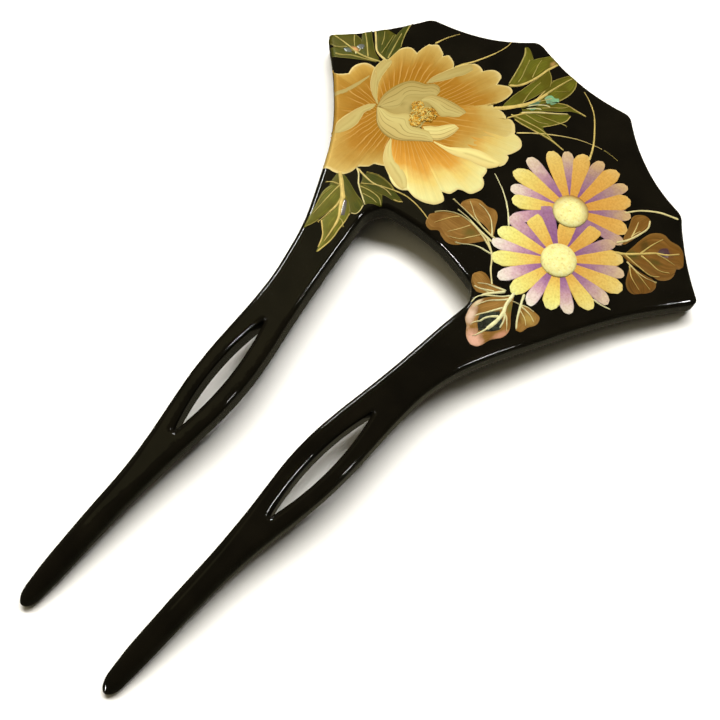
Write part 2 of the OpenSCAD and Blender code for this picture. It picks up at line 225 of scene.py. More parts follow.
bpy.ops.object.select_all(action="DESELECT")
bpy.ops.mesh.primitive_plane_add(size=2 * FLOOR_HALF, location=(0, 0, 0))
floor = bpy.context.object
floor.name = "floor"
floor.visible_glossy = False
material, tree, surface = shader_nodes("pale_paper")
wire(tree, surface, Base_Color=ramp(tree, noise(tree, 60.0), (0.0, 0.92), (1.0, 0.935)),
     Roughness=0.9, Specular_IOR_Level=0.1)
floor.data.materials.append(material)

world = bpy.data.worlds.new("studio")
bpy.context.scene.world = world
world.use_nodes = True
tree = world.node_tree
height = add_node(tree, "ShaderNodeSeparateXYZ",
                  Vector=add_node(tree, "ShaderNodeTexCoord").outputs["Generated"]).outputs["Z"]
sky = ramp(tree, height, (0.0, (0.11, 0.10, 0.066)), (0.3, (0.075, 0.068, 0.043)),
           (0.46, (0.03, 0.026, 0.017)), (1.0, (0.008, 0.007, 0.005)))
wire(tree, tree.nodes["Background"], Color=sky, Strength=1.0)

for lamp in LAMPS:
    studio_lamp(*lamp)
print("floor and", len(LAMPS), "lamps")

# %% [markdown]
# The body's outline is worked out from the same driving sizes as the solid: five shallow scallops
# between six rounded points, and a short table of the prong's two edges, read along a smooth cubic.
# Only the right half is described. A piece ground by hand is never quite its own mirror image, so
# a second table says how far each side strays from that, and the outline is moved by it.

# %% Outline of the body
OVERALL_L = 140 * MM
HALF_L = OVERALL_L / 2
HALF_W = 43.3 * MM
ARCH_Y = 24.8 * MM
# Points of the fan's right half, from the top, and the depth of the scallop before each
FAN_POINTS = np.array([[11.6, 70.3], [31.0, 60.4], [43.6, 46.7]]) * MM
SCALLOP_DEPTHS = np.array([1.7, 1.9, 1.0]) * MM
POINT_ROUND = 0.07
# Right prong: y, inner x, outer x
PRONG_ROWS = np.array([
    [-66.5, 8.50, 12.00], [-62.0, 8.25, 12.35], [-54.0, 8.25, 12.65], [-46.0, 8.25, 12.95],
    [-40.0, 8.10, 13.35], [-34.0, 7.75, 14.10], [-28.0, 7.25, 15.05], [-22.0, 6.90, 15.90],
    [-16.0, 7.10, 16.35], [-10.0, 7.90, 16.45], [-4.0, 9.00, 16.65], [2.0, 10.00, 17.25],
    [8.0, 10.80, 18.80], [14.0, 11.55, 21.40], [20.0, 12.40, 24.40], [26.0, 13.20, 27.75],
    [32.0, 14.00, 31.60], [38.0, 14.80, 36.00], [46.7, 16.00, 43.60]]) * MM
INNER, OUTER = 1, 2
TIP_Y = PRONG_ROWS[0, 0]
ARCH_CORNER = np.array([12.7, 21.2]) * MM
ARCH_START = np.array([10.4, 23.4]) * MM
CORNER_LOW_Y = 18.5 * MM
SIDE_START = 45.4 * MM
EDGE_STEP = 1.2 * MM
print("right prong's table:", len(PRONG_ROWS), "rows")

# %% Stray of an outline ground by hand
# The two sides' strays blend this near the middle line. Further out, an inner edge's stray gives
# way to an outer edge's from a distance and over a width.
SIDES_MEET = 10 * MM
OUTER_FROM, OUTER_OVER = 12.5 * MM, 4.5 * MM
# y, then the left side's stray: x of inner edges, x of outer edges, y; then the right side's
HAND_ROWS = np.array([
    [-72, -1.05, -1.05, 0, -0.80, -0.80, -0.95], [-66, -1.05, -1.05, 0, -0.80, -0.80, -0.90],
    [-60, -0.90, -0.90, 0, -0.70, -0.70, -0.60], [-50, -0.55, -0.55, 0, -0.50, -0.50, -0.30],
    [-40, -0.15, -0.15, 0, -0.12, -0.10, 0], [-30, 0.08, 0.08, 0, 0.28, 0.40, 0],
    [-20, 0.08, 0.08, 0, 0.35, 0.45, 0], [-10, 0.05, 0, 0, 0.38, 0.42, 0],
    [0, 0.05, -0.10, 0, 0.28, 0.30, 0], [5, 0, -0.15, 0, 0.24, 0.30, 0],
    [8.5, -0.05, 0.10, 0, 0.20, 0.30, 0], [13, -0.10, 0.60, 0, 0.15, 0.30, -0.10],
    [18, -0.10, 0.70, 0.20, 0.15, 0.35, -0.40], [23, 0, 0.85, 0.35, 0.05, 0.28, -0.80],
    [27.5, 0, 0.95, 0.50, 0, 0.15, -0.65], [32, 0, 0.75, 0.30, 0, 0.05, -0.30],
    [37, 0, 0.10, 0, 0, -0.15, 0.10], [42, 0, -0.30, -0.45, 0, -0.35, 0.50],
    [46.7, 0, -0.45, -1.20, 0, -0.40, 0.90], [53.5, -0.10, -0.35, 0.35, 0, -0.25, 0.35],
    [60.4, -0.25, -0.25, 1.47, -0.38, -0.38, -0.46], [65, -0.50, -0.50, 1.45, -0.55, -0.55, -0.15],
    [70.3, -0.75, -0.75, 1.50, -0.75, -0.75, 0.25], [73, -0.75, -0.75, 1.50, -0.75, -0.75, 0.25]]) * MM


def row_value(rows, y, column):
    """Value of a table at y, on the cubic through its rows."""
    i = int(np.clip(np.searchsorted(rows[:, 0], y) - 1, 0, len(rows) - 2))
    step = rows[i + 1, 0] - rows[i, 0]
    t = (y - rows[i, 0]) / step

    def slope(k):
        low, high = max(k - 1, 0), min(k + 1, len(rows) - 1)
        return (rows[high, column] - rows[low, column]) / (rows[high, 0] - rows[low, 0])

    start = (2 * t**3 - 3 * t**2 + 1) * rows[i, column] + (t**3 - 2 * t**2 + t) * step * slope(i)
    end = (3 * t**2 - 2 * t**3) * rows[i + 1, column] + (t**3 - t**2) * step * slope(i + 1)
    return start + end


def hand_ground(points):
    """Moves points of the symmetric outline to where the piece has them."""
    moved = []
    for x, y in points:
        stray = [row_value(HAND_ROWS, y, column) for column in range(1, 7)]
        rightness = min(max((x + SIDES_MEET) / (2 * SIDES_MEET), 0), 1)
        outness = min(max((abs(x) - OUTER_FROM) / OUTER_OVER, 0), 1)
        left = np.array([stray[0] + (stray[1] - stray[0]) * outness, stray[2]])
        right = np.array([stray[3] + (stray[4] - stray[3]) * outness, stray[5]])
        moved.append(np.array([x, y]) + left * (1 - rightness) + right * rightness)
    return np.array(moved)


print("largest stray, mm:", (np.abs(HAND_ROWS[:, 1:]).max() / MM).round(2))


# %% Right half of the outline
def bow(a, b, depth, steps, start=0.0, stop=1.0):
    """Points of a shallow bow from a to b, sagging by depth to the right of the way."""
    t = np.linspace(start, stop, steps + 1)[:, None]
    way = (b - a) / np.linalg.norm(b - a)
    return a + (b - a) * t + np.array([way[1], -way[0]]) * depth * 4 * t * (1 - t)


def turn(a, corner, b, steps=8):
    """Points of a rounded corner between a and b, both left out."""
    t = np.linspace(0, 1, steps + 1)[1:-1, None]
    return a * (1 - t)**2 + corner * 2 * t * (1 - t) + b * t**2


def side_edge(y0, y1, column):
    """Points down or up one edge of the prong."""
    steps = math.ceil(abs(y1 - y0) / EDGE_STEP)
    return np.array([[row_value(PRONG_ROWS, y, column), y] for y in np.linspace(y0, y1, steps + 1)])


def half_outline():
    """Right half of the outline, from the middle of the top scallop round to the arch."""
    first = FAN_POINTS[0] * (-1, 1)
    starts = np.vstack([first, FAN_POINTS[:2]])
    scallops = [bow(a, b, depth, 26, 0.5 if i == 0 else POINT_ROUND, 1 - POINT_ROUND)
                for i, (a, b, depth) in enumerate(zip(starts, FAN_POINTS, SCALLOP_DEPTHS))]
    side = side_edge(SIDE_START, TIP_Y, OUTER)
    after = [scallops[1][0], scallops[2][0], side[0]]
    parts = []
    for scallop, point, following in zip(scallops, FAN_POINTS, after):
        parts += [scallop, turn(scallop[-1], point, following)]
    tip_x = PRONG_ROWS[0, INNER:].mean()
    tip_half = (PRONG_ROWS[0, OUTER] - PRONG_ROWS[0, INNER]) / 2
    round_tip = np.radians(np.arange(8, 173, 8))
    tip = np.stack([tip_x + tip_half * np.cos(round_tip),
                    TIP_Y - (TIP_Y + HALF_L) * np.sin(round_tip)], 1)
    inner = side_edge(TIP_Y, CORNER_LOW_Y, INNER)
    t = 1 - np.arange(0, 15)[:, None] / 15
    arch = np.hstack([ARCH_START[0] * t, ARCH_Y - (ARCH_Y - ARCH_START[1]) * t**2])
    corner = turn(inner[-1], ARCH_CORNER, ARCH_START, 12)
    return np.vstack(parts + [side, tip, inner, corner, arch])


right_half = half_outline()
print("points of the right half:", len(right_half))

# %% Eyes and closed outlines
EYE_AT = np.array([11.8, -19.0]) * MM
EYE_L = 25.0 * MM
EYE_W = 3.2 * MM
EYE_LEAN = math.radians(3.3)
EYE_ROUND = 0.965


def eye_outline():
    """The right prong's eye: a lens of two arcs whose ends are slightly rounded."""
    radius = (EYE_L**2 + EYE_W**2) / 4 / EYE_W
    half_turn = math.asin(EYE_L / 2 / radius)
    angles = np.linspace(-EYE_ROUND, EYE_ROUND, 41) * half_turn
    right = np.stack([radius * np.cos(angles) - radius + EYE_W / 2, radius * np.sin(angles)], 1)
    top = turn(right[-1], np.array([0, EYE_L / 2]), right[-1] * (-1, 1), 9)
    lens = np.vstack([right, top, -right, -top])
    lean = np.array([[math.cos(EYE_LEAN), -math.sin(EYE_LEAN)],
                     [math.sin(EYE_LEAN), math.cos(EYE_LEAN)]])
    return EYE_AT + lens @ lean


left_half = right_half[:0:-1] * (-1, 1)
middle_of_arch = np.array([[0, ARCH_Y]])
outer_loop = hand_ground(np.vstack([right_half, middle_of_arch, left_half])[::-1])
eye_loop = eye_outline()[::-1]
eye_shifts = hand_ground([EYE_AT, EYE_AT * (-1, 1)]) - [EYE_AT, EYE_AT * (-1, 1)]
LOOPS = [outer_loop, eye_loop + eye_shifts[0], eye_loop[::-1] * (-1, 1) + eye_shifts[1]]
print("outline points:", [len(loop) for loop in LOOPS])

# %% [markdown]
# The solid's edges are sharp, but the real edges are ground round before they are lacquered, more
# so towards the tips, where the prongs are nearly oval. The width of this rounding is worked out
# for every point of the outline, and is kept under the largest circle that fits there, so that
# the rings of the rounding never cross, not even round a tip.

# %% Rounding along the outline
ROUND_HEAD = 0.85 * MM
ROUND_TIP = 1.75 * MM
ROUND_FROM_Y, ROUND_TO_Y = -22 * MM, -46 * MM
# Share of the largest circle that the rounding may take, and its radius where nothing is near
ROUND_FIT = 0.86
NEVER_MEETS = 1.0
TINY = 1e-8


def inward(loop):
    """Unit normals that point into the plan. The outer loop runs left round, an eye right round."""
    way = np.roll(loop, -1, 0) - np.roll(loop, 1, 0)
    way /= np.linalg.norm(way, axis=1)[:, None]
    return np.stack([-way[:, 1], way[:, 0]], 1)


edge_points = np.vstack(LOOPS)
edge_normals = np.vstack([inward(loop) for loop in LOOPS])


def room(points, normals):
    """Radius of the largest circle in the plan that touches the outline at each point."""
    way = edge_points[None] - points[:, None]
    ahead = (way * normals[:, None]).sum(-1)
    square = (way**2).sum(-1)
    return np.where(ahead > TINY, square / (2 * np.maximum(ahead, TINY)), NEVER_MEETS).min(1)


edge_room = room(edge_points, edge_normals)
towards_tip = np.clip((ROUND_FROM_Y - edge_points[:, 1]) / (ROUND_FROM_Y - ROUND_TO_Y), 0, 1)
towards_tip = towards_tip**2 * (3 - 2 * towards_tip)
wanted = ROUND_HEAD + (ROUND_TIP - ROUND_HEAD) * towards_tip
edge_round = np.minimum(wanted, ROUND_FIT * edge_room)
print("rounding, mm:", (edge_round.min() / MM).round(2), "to", (edge_round.max() / MM).round(2))

# %% Domed top and hollow underside
# Thickness in the middle and at the rim, and the share of it that a rounded edge may take
MID_T = 5.4 * MM
RIM_T = 3.9 * MM
FALL_SHARE = 0.46
# Both faces are cut from large balls, and the plate stands on its prong tips, FOOT_R off the middle
UNDER_R = 600 * MM
FOOT_R = math.hypot(12 * MM, HALF_L + 1.4 * MM)
UNDER_RISE = FOOT_R**2 / (2 * UNDER_R)
TOP_R = FOOT_R**2 / (2 * (UNDER_RISE + MID_T - RIM_T))
TOP_Z = UNDER_RISE + MID_T
# Past TAPER_Y the top falls along a smaller circle
TAPER_Y = -HALF_L + 30 * MM
TAPER_R = 150 * MM


def underside(x, y):
    """Height of the hollow underside."""
    return UNDER_RISE - UNDER_R + np.sqrt(UNDER_R**2 - x**2 - y**2)


def topside(x, y):
    """Height of the domed top, which thins towards the prong tips."""
    dome = TOP_Z - TOP_R + np.sqrt(TOP_R**2 - x**2 - y**2)
    lean = math.asin(-TAPER_Y / TOP_R)
    axis_y = TAPER_Y + TAPER_R * math.sin(lean)
    axis_z = TOP_Z - TAPER_Y**2 / (2 * TOP_R) - TAPER_R * math.cos(lean)
    thin = axis_z + np.sqrt(np.maximum(TAPER_R**2 - (y - axis_y)**2, 0))
    return np.where(y < TAPER_Y, np.minimum(dome, thin), dome)


thickness = topside(*edge_points.T) - underside(*edge_points.T)
edge_fall = np.minimum(edge_round, FALL_SHARE * thickness)
print("thickness at the edge, mm:", (thickness.min() / MM).round(2), "to", (thickness.max() / MM).round(2))

# %% [markdown]
# The plate is built the way a press would close on it. The outline is filled as the bottom face,
# then the whole face is extruded again and again, and each new ring of points is moved to its
# place on the rounding. The bevel tool could round a plate too, but with one width everywhere.
# The two flat faces are then cut into small cells by bisecting, so that they can bend, and at last
# every point is set to its height between the hollow underside and the domed top.

# %% Plate with rounded edges
PLATE_H = 10 * MM
CELL = 2.5 * MM
# The lower edge is rounded less. Both roundings are made of rings, at these angles in degrees
UNDER_SHARE = 0.8
UNDER_RINGS, TOP_RINGS = (72, 54, 36, 18, 0), (0, 13, 26, 39, 52, 65, 78, 90)
FLAT = 1e-7


def select_only(*objects):
    """Selects these objects alone and makes the first one active."""
    bpy.ops.object.select_all(action="DESELECT")
    for obj in objects:
        obj.select_set(True)
    bpy.context.view_layer.objects.active = objects[0]


def set_values(mesh, name, values, kind="FLOAT"):
    """Lets the points of the mesh carry values under a name."""
    mesh.attributes.new(name, kind, "POINT").data.foreach_set("value", values)


def coordinates(mesh):
    """The mesh's points as an array of rows x, y, z."""
    co = np.zeros(len(mesh.vertices) * 3)
    mesh.vertices.foreach_get("co", co)
    return co.reshape(-1, 3)


def set_coordinates(mesh, co):
    """Moves the mesh's points to the rows x, y, z."""
    mesh.vertices.foreach_set("co", co.ravel())
    mesh.update()


def wire_object(name, loops):
    """Mesh of closed wires whose points carry their number along the outline."""
    mesh = bpy.data.meshes.new(name)
    points = np.vstack(loops)
    edges = []
    first = 0
    for loop in loops:
        edges += [(first + i, first + (i + 1) % len(loop)) for i in range(len(loop))]
        first += len(loop)
    mesh.from_pydata(np.hstack([points, np.zeros((len(points), 1))]).tolist(), edges, [])
    set_values(mesh, "edge_no", np.arange(len(points)), "INT")
    obj = bpy.data.objects.new(name, mesh)
    bpy.context.scene.collection.objects.link(obj)
    return obj


def place_ring(obj, share, degrees, top):
    """Moves the selected points to the ring at an angle of the rounding, 0 at the side wall."""
    bm = bmesh.from_edit_mesh(obj.data)
    number = bm.verts.layers.int["edge_no"]
    angle = math.radians(degrees)
    inset, fall = 1 - math.cos(angle), 1 - math.sin(angle)
    for vert in bm.verts:
        if vert.select:
            i = vert[number]
            x, y = edge_points[i] + edge_normals[i] * edge_round[i] * share * inset
            drop = edge_fall[i] * share * fall
            vert.co = (x, y, PLATE_H - drop if top else drop)
    bmesh.update_edit_mesh(obj.data)


def cut_flat(obj, level, axis, places):
    """Bisects the flat face at height level across an axis at each of the places."""
    normal = Vector((1, 0, 0)) if axis == 0 else Vector((0, 1, 0))
    for place in places:
        bm = bmesh.from_edit_mesh(obj.data)
        bpy.ops.mesh.select_all(action="DESELECT")
        for face in bm.faces:
            if all(abs(vert.co.z - level) < FLAT for vert in face.verts):
                face.select_set(True)
        bm.select_flush_mode()
        bpy.ops.mesh.bisect(plane_co=normal * place, plane_no=normal)


body = wire_object("body_lacquered", LOOPS)
select_only(body)
bpy.ops.object.mode_set(mode="EDIT")
bpy.ops.mesh.select_mode(type="VERT")
bpy.ops.mesh.select_all(action="SELECT")
place_ring(body, UNDER_SHARE, 90, False)
bpy.ops.mesh.fill(use_beauty=True)
for degrees in UNDER_RINGS:
    bpy.ops.mesh.extrude_region()
    place_ring(body, UNDER_SHARE, degrees, False)
for degrees in TOP_RINGS:
    bpy.ops.mesh.extrude_region()
    place_ring(body, 1.0, degrees, True)
print("plate faces:", len(bmesh.from_edit_mesh(body.data).faces))
for level in (0.0, PLATE_H):
    cut_flat(body, level, 1, np.arange(-HALF_L + CELL, HALF_L, CELL))
    cut_flat(body, level, 0, np.arange(-HALF_W + CELL / 3, HALF_W, CELL))
bpy.ops.mesh.select_all(action="SELECT")
bpy.ops.mesh.normals_make_consistent(inside=False)
bpy.ops.object.mode_set(mode="OBJECT")
co = coordinates(body.data)
x, y, z = co.T
co[:, 2] = np.where(z < PLATE_H / 2, underside(x, y) + z, topside(x, y) - (PLATE_H - z))
set_coordinates(body.data, co)
bpy.ops.object.shade_smooth()
normals = body.modifiers.new("even_normals", "WEIGHTED_NORMAL")
normals.weight = 60
bpy.ops.object.modifier_apply(modifier=normals.name)
print("body faces:", len(body.data.polygons), "height, mm:", (co[:, 2].max() / MM).round(2))

# %% [markdown]
# Black lacquer is built up in many thin coats and polished, so it is a dark warm body under a
# clear gloss. A bare mirror looks like plastic. The polished film waves very slightly, and
# handling leaves a faint uneven sheen, so a wide soft noise bends the light a little and a finer
# one changes the roughness.

# %% Black lacquer
material, tree, surface = shader_nodes("black_lacquer")
wave = maths(tree, "ADD", noise(tree, 210.0, 1.0), maths(tree, "MULTIPLY", noise(tree, 1600.0, 1.0), 0.2))
wire(tree, surface, Coat_Weight=0.08, Coat_Roughness=0.03, Specular_IOR_Level=0.18,
     Base_Color=ramp(tree, noise(tree, 160.0, 3.0), (0.3, (0.0035, 0.003, 0.002)),
                     (0.75, (0.006, 0.005, 0.003))),
     Roughness=ramp(tree, noise(tree, 900.0, 4.0), (0.35, 0.03), (0.75, 0.055)),
     Normal=bumped(tree, wave, 0.035, 0.001))
body.data.materials.append(material)
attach(body, "root")
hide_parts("body")
print("lacquer nodes:", len(tree.nodes))

# %% [markdown]
# The flowers are layers of lacquer and gold powder, each a little proud of the one below. Every
# petal here is a flat grid that is bent to lie between two drawn curves, its base and its rim, and
# then laid on the domed head. The grid's own UV map runs across the petal and from base to rim, so
# a colour can fade towards the rim and veins can spread from the base, whatever the petal's shape.

# %% Height of the lacquered skin
EDGE_MARGIN = 0.12 * MM
loop_starts = np.cumsum([0] + [len(loop) for loop in LOOPS])
next_no = np.arange(len(edge_points)) + 1
previous_no = np.arange(len(edge_points)) - 1
for first, after in zip(loop_starts[:-1], loop_starts[1:]):
    next_no[after - 1] = first
    previous_no[first] = after - 1


def edge_distance(points):
    """Distance of points to the outline, negative outside, and the nearest outline point's number."""
    distance = np.zeros(len(points))
    number = np.zeros(len(points), int)
    for part in np.array_split(np.arange(len(points)), 1 + len(points) // 4000):
        away = points[part, None] - edge_points[None]
        i = (away**2).sum(-1).argmin(1)
        best = np.full(len(part), np.inf)
        for other in (next_no[i], previous_no[i]):
            way = edge_points[other] - edge_points[i]
            t = ((points[part] - edge_points[i]) * way).sum(1) / (way**2).sum(1)
            foot = edge_points[i] + way * np.clip(t, 0, 1)[:, None]
            best = np.minimum(best, np.linalg.norm(points[part] - foot, axis=1))
        side = np.sign(((points[part] - edge_points[i]) * edge_normals[i]).sum(1))
        distance[part] = best * side
        number[part] = i
    return distance, number


def on_skin(points, lift=0.0):
    """Places x, y on the lacquer as x, y, z. What would hang over the edge is drawn in to it."""
    distance, i = edge_distance(points)
    points = points + edge_normals[i] * np.maximum(EDGE_MARGIN - distance, 0)[:, None]
    into = np.clip(1 - np.maximum(distance, EDGE_MARGIN) / edge_round[i], 0, 1)
    drop = edge_fall[i] * (1 - np.sqrt(1 - into**2))
    return np.column_stack([points, topside(*points.T) - drop + lift])


print("height of the skin in the middle, mm:", (on_skin(np.zeros((1, 2)))[0, 2] / MM).round(2))


# %% Curves and petal grids
FINE_STEPS = 8
CREASE_DEGREES = 40
# The outermost row of a laid grid lies lower, at this share of the lift
EDGE_LIFT_SHARE = 0.6


def steps_along(points):
    """Length of each step of a path."""
    return np.linalg.norm(np.diff(points, axis=0), axis=1)


def smooth_path(points, count):
    """count points along a smooth curve through points. A doubled point is a sharp corner."""
    points = np.array(points, float)
    breaks = [0] + [i + 1 for i in range(len(points) - 1) if (points[i] == points[i + 1]).all()]
    runs = [points[a:b] for a, b in zip(breaks, breaks[1:] + [len(points)]) if b - a > 1]
    fine = []
    for run in runs:
        ends = np.vstack([2 * run[0] - run[1], run, 2 * run[-1] - run[-2]])
        t = np.linspace(0, 1, FINE_STEPS + 1)[:-1, None]
        spans = [0.5 * (2 * b + (c - a) * t + (2 * a - 5 * b + 4 * c - d) * t**2
                        + (3 * b - a - 3 * c + d) * t**3)
                 for a, b, c, d in zip(ends[:-3], ends[1:-2], ends[2:-1], ends[3:])]
        fine.append(np.vstack(spans + [run[-1:]]))
    lengths = [steps_along(f).sum() for f in fine]
    shares = np.round(np.cumsum([0] + lengths) / sum(lengths) * (count - 1)).astype(int)
    path = []
    for f, first, last in zip(fine, shares[:-1], shares[1:]):
        along = np.concatenate([[0], np.cumsum(steps_along(f))])
        wanted = np.linspace(0, along[-1], last - first + 1)[:-1]
        path.append(np.stack([np.interp(wanted, along, f[:, k]) for k in (0, 1)], 1))
    return np.vstack(path + [points[-1:]])


def curve_length(points):
    """Length of the smooth curve through points."""
    return steps_along(smooth_path(points, 60)).sum()


def between(near, far, across, along):
    """Grid of places from the curve near to the curve far, in millimetres: rows run across."""
    a, b = smooth_path(near, across), smooth_path(far, across)
    v = np.linspace(0, 1, along)[:, None, None]
    return a[None] * (1 - v) + b[None] * v


def laid_grid(name, grid, lift, relief, tone, stripes=(0, 0), fade=1.0):
    """Lays a grid primitive on the skin at the places of grid, in millimetres.

    lift is its height over the skin and relief(u, v) adds to it. The finish reads tone, and
    stripe, which counts the lines that are drawn across and along the grid. fade shortens the v
    of the UV, so that the colour stays nearer to that of the base. A rim that was drawn in to the
    edge of the piece isn't the petal's own rim, so it doesn't get the rim's v either."""
    along, across = grid.shape[:2]
    bpy.ops.object.select_all(action="DESELECT")
    bpy.ops.mesh.primitive_grid_add(x_subdivisions=across - 1, y_subdivisions=along - 1, size=1)
    obj = bpy.context.object
    obj.name = name
    mesh = obj.data
    square = coordinates(mesh)[:, :2] + 0.5
    column = np.round(square[:, 0] * (across - 1)).astype(int)
    row = np.round(square[:, 1] * (along - 1)).astype(int)
    u, v = column / (across - 1), row / (along - 1)
    at = grid[row, column] * MM
    edge = np.minimum(np.minimum(u, 1 - u) * across, np.minimum(v, 1 - v) * along) < 0.9
    co = on_skin(at, lift)
    co[:, 2] += relief(u, v)
    co[:, 2] -= np.where(edge, (1 - EDGE_LIFT_SHARE) * lift, 0)
    set_coordinates(mesh, co)
    set_values(mesh, "tone", np.full(len(co), tone))
    set_values(mesh, "stripe", u * stripes[0] + v * stripes[1] + 0.5)
    inner = fade * np.where(edge_distance(at)[0] < EDGE_MARGIN, np.minimum(v, 0.9), v)
    point_of = np.zeros(len(mesh.loops), int)
    mesh.loops.foreach_get("vertex_index", point_of)
    mesh.uv_layers.active.data.foreach_set("uv", np.stack([u, inner], 1)[point_of].ravel())
    corners = [Vector(co[i]) for i in mesh.polygons[len(mesh.polygons) // 2].vertices]
    if (corners[1] - corners[0]).cross(corners[2] - corners[1]).z < 0:
        mesh.flip_normals()
    return obj


def join_all(name, objects):
    """Joins objects into one with this name."""
    select_only(*objects)
    if len(objects) > 1:
        bpy.ops.object.join()
    obj = bpy.context.object
    obj.name = obj.data.name = name
    return obj


def joined(name, objects, depth):
    """Joins laid grids into one piece and gives it thickness downwards, to just under the skin."""
    obj = join_all(name, objects)
    wall = obj.modifiers.new("thickness", "SOLIDIFY")
    wall.thickness = depth
    wall.offset = -1
    bpy.ops.object.modifier_apply(modifier=wall.name)
    bpy.ops.object.shade_smooth_by_angle(angle=math.radians(CREASE_DEGREES))
    print(name, "from", len(objects), "grids")
    return obj


def dress(obj, material, slot, *nodes):
    """Gives a finished piece its material and its place in the frame, and hides the solids that it replaces.
    """
    obj.data.materials.clear()
    obj.data.materials.append(material)
    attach(obj, "root")
    if nodes:
        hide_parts(*nodes)
    print(obj.name, "faces:", len(obj.data.polygons))


# %% Peony tables, in millimetres
# Each petal: level, tone from 0 for ochre to 1 for bright yellow, veins, base curve, rim curve. The tones
# are partly the paint's own and partly painted light, higher towards the right of the peony.
PEONY_PETALS = {
    "left": (0, 0.02, 11,
        [(-24.2, 36.4), (-24.8, 38.2), (-25.8, 40.4)],
        [(-28.2, 27.4), (-31.8, 30.6), (-35, 34.4), (-38.4, 38.6), (-36.4, 39.3), (-35.4, 40.1),
         (-34.7, 40.9), (-34.7, 40.9), (-35, 42), (-35, 42.9), (-34.6, 44), (-33.7, 44.9), (-32.6, 45.2),
         (-31.6, 45.1), (-30.8, 44.4)]),
    "upper_left": (1, 0.16, 12,
        [(-25.6, 39.4), (-25.4, 43.5), (-24.2, 46.6), (-21.4, 48.6)],
        [(-27.6, 40.6), (-29.6, 43.4), (-31, 46.4), (-31.2, 50.1), (-31, 51.7), (-30.4, 52.8),
         (-29.6, 53.35), (-28.6, 53.3), (-27.95, 53.1), (-27.95, 53.1), (-27.9, 54.6), (-27.65, 55.9),
         (-27.55, 56.4), (-27.55, 56.4), (-27.1, 56.5), (-26.6, 57.1), (-26, 57.35), (-24.75, 56.8),
         (-24.1, 56.4), (-23.75, 55.85), (-23.75, 55.85), (-23.3, 56.6), (-22.9, 56.8), (-21.9, 56.5),
         (-21, 55.9), (-20.4, 55)]),
    "top": (2, 0.20, 14,
        [(-21.6, 48.4), (-19, 47.4), (-15, 47.6), (-12.2, 47.2)],
        [(-19.6, 55.9), (-18.8, 57.6), (-18.2, 58.6), (-17.1, 58.85), (-16.2, 58.6), (-15.85, 58.35),
         (-15.85, 58.35), (-15.2, 59.35), (-14.3, 60.1), (-13.2, 60.2), (-12.4, 59.7), (-12.1, 58.6),
         (-11.95, 57.8), (-11.95, 57.8), (-11.2, 58.3), (-10.1, 58.95), (-9.5, 59), (-8.8, 58.6),
         (-8.6, 57.9), (-8.65, 56.4), (-9.1, 54.8), (-9.6, 53.9)]),
    "right_behind": (2, 0.72, 4,
        [(-15.4, 47.4), (-15.8, 44.6), (-13.6, 41.4)],
        [(-3.4, 52.2), (-2.7, 51.4), (-1.7, 51.35), (-0.7, 51), (0.1, 49.9), (-0.1, 48.4), (-0.8, 46.8),
         (-0.8, 46.8), (-0.26, 46.6), (0.1, 45.1), (-0.3, 44)]),
    "right": (3, 0.38, 11,
        [(-16.4, 46.9), (-17.9, 45), (-18.2, 43), (-16.6, 40.8), (-12.8, 39.6)],
        [(-10.1, 54), (-9.1, 53.3), (-8, 53.55), (-7.25, 53.6), (-6.3, 53.3), (-5.85, 52.9),
         (-5.85, 52.9), (-5.3, 53.3), (-4.6, 53.3), (-3.8, 52.9), (-3, 52), (-2.7, 51.4), (-2.9, 49.8),
         (-4, 48), (-5, 46.4), (-5.6, 44.6), (-6, 42.6)]),
    "bottom": (2, 0.16, 10,
        [(-25, 39.2), (-23.4, 37.6), (-21.2, 36.4), (-18.6, 36.4)],
        [(-28.6, 28), (-26.6, 24.6), (-25, 22.2), (-23.6, 22.7), (-22.6, 22.8), (-21.4, 23.2),
         (-20.5, 23.9), (-19.9, 25.2), (-19.8, 26.5), (-19.8, 26.5), (-19.3, 27), (-18.3, 27.9),
         (-17.9, 28.95), (-17, 29.4), (-15.4, 30.3)]),
    "lower_right": (4, 0.92, 16,
        [(-19.6, 36.3), (-18, 36.7), (-15.8, 38.4), (-13.4, 40.2)],
        [(-16.8, 30.6), (-14.8, 29.2), (-13.2, 28.25), (-11.9, 27.9), (-10.7, 28.1), (-9.6, 28.9),
         (-9.6, 28.9), (-8.2, 28.6), (-6.6, 28.75), (-5.2, 29.25), (-4, 30.1), (-3.4, 31.4), (-3.8, 32.1),
         (-4.9, 32.8), (-4.9, 32.8), (-3.6, 33.3), (-3.2, 34.2), (-3, 35.1), (-3, 35.1), (-2.3, 35.5),
         (-0.8, 35.9), (-0.1, 37), (0.2, 38.3), (-0.3, 39.4), (-1.2, 40.1), (-1.2, 40.1), (-1.3, 41),
         (-1.5, 41.8), (-2.2, 42.2)]),
}
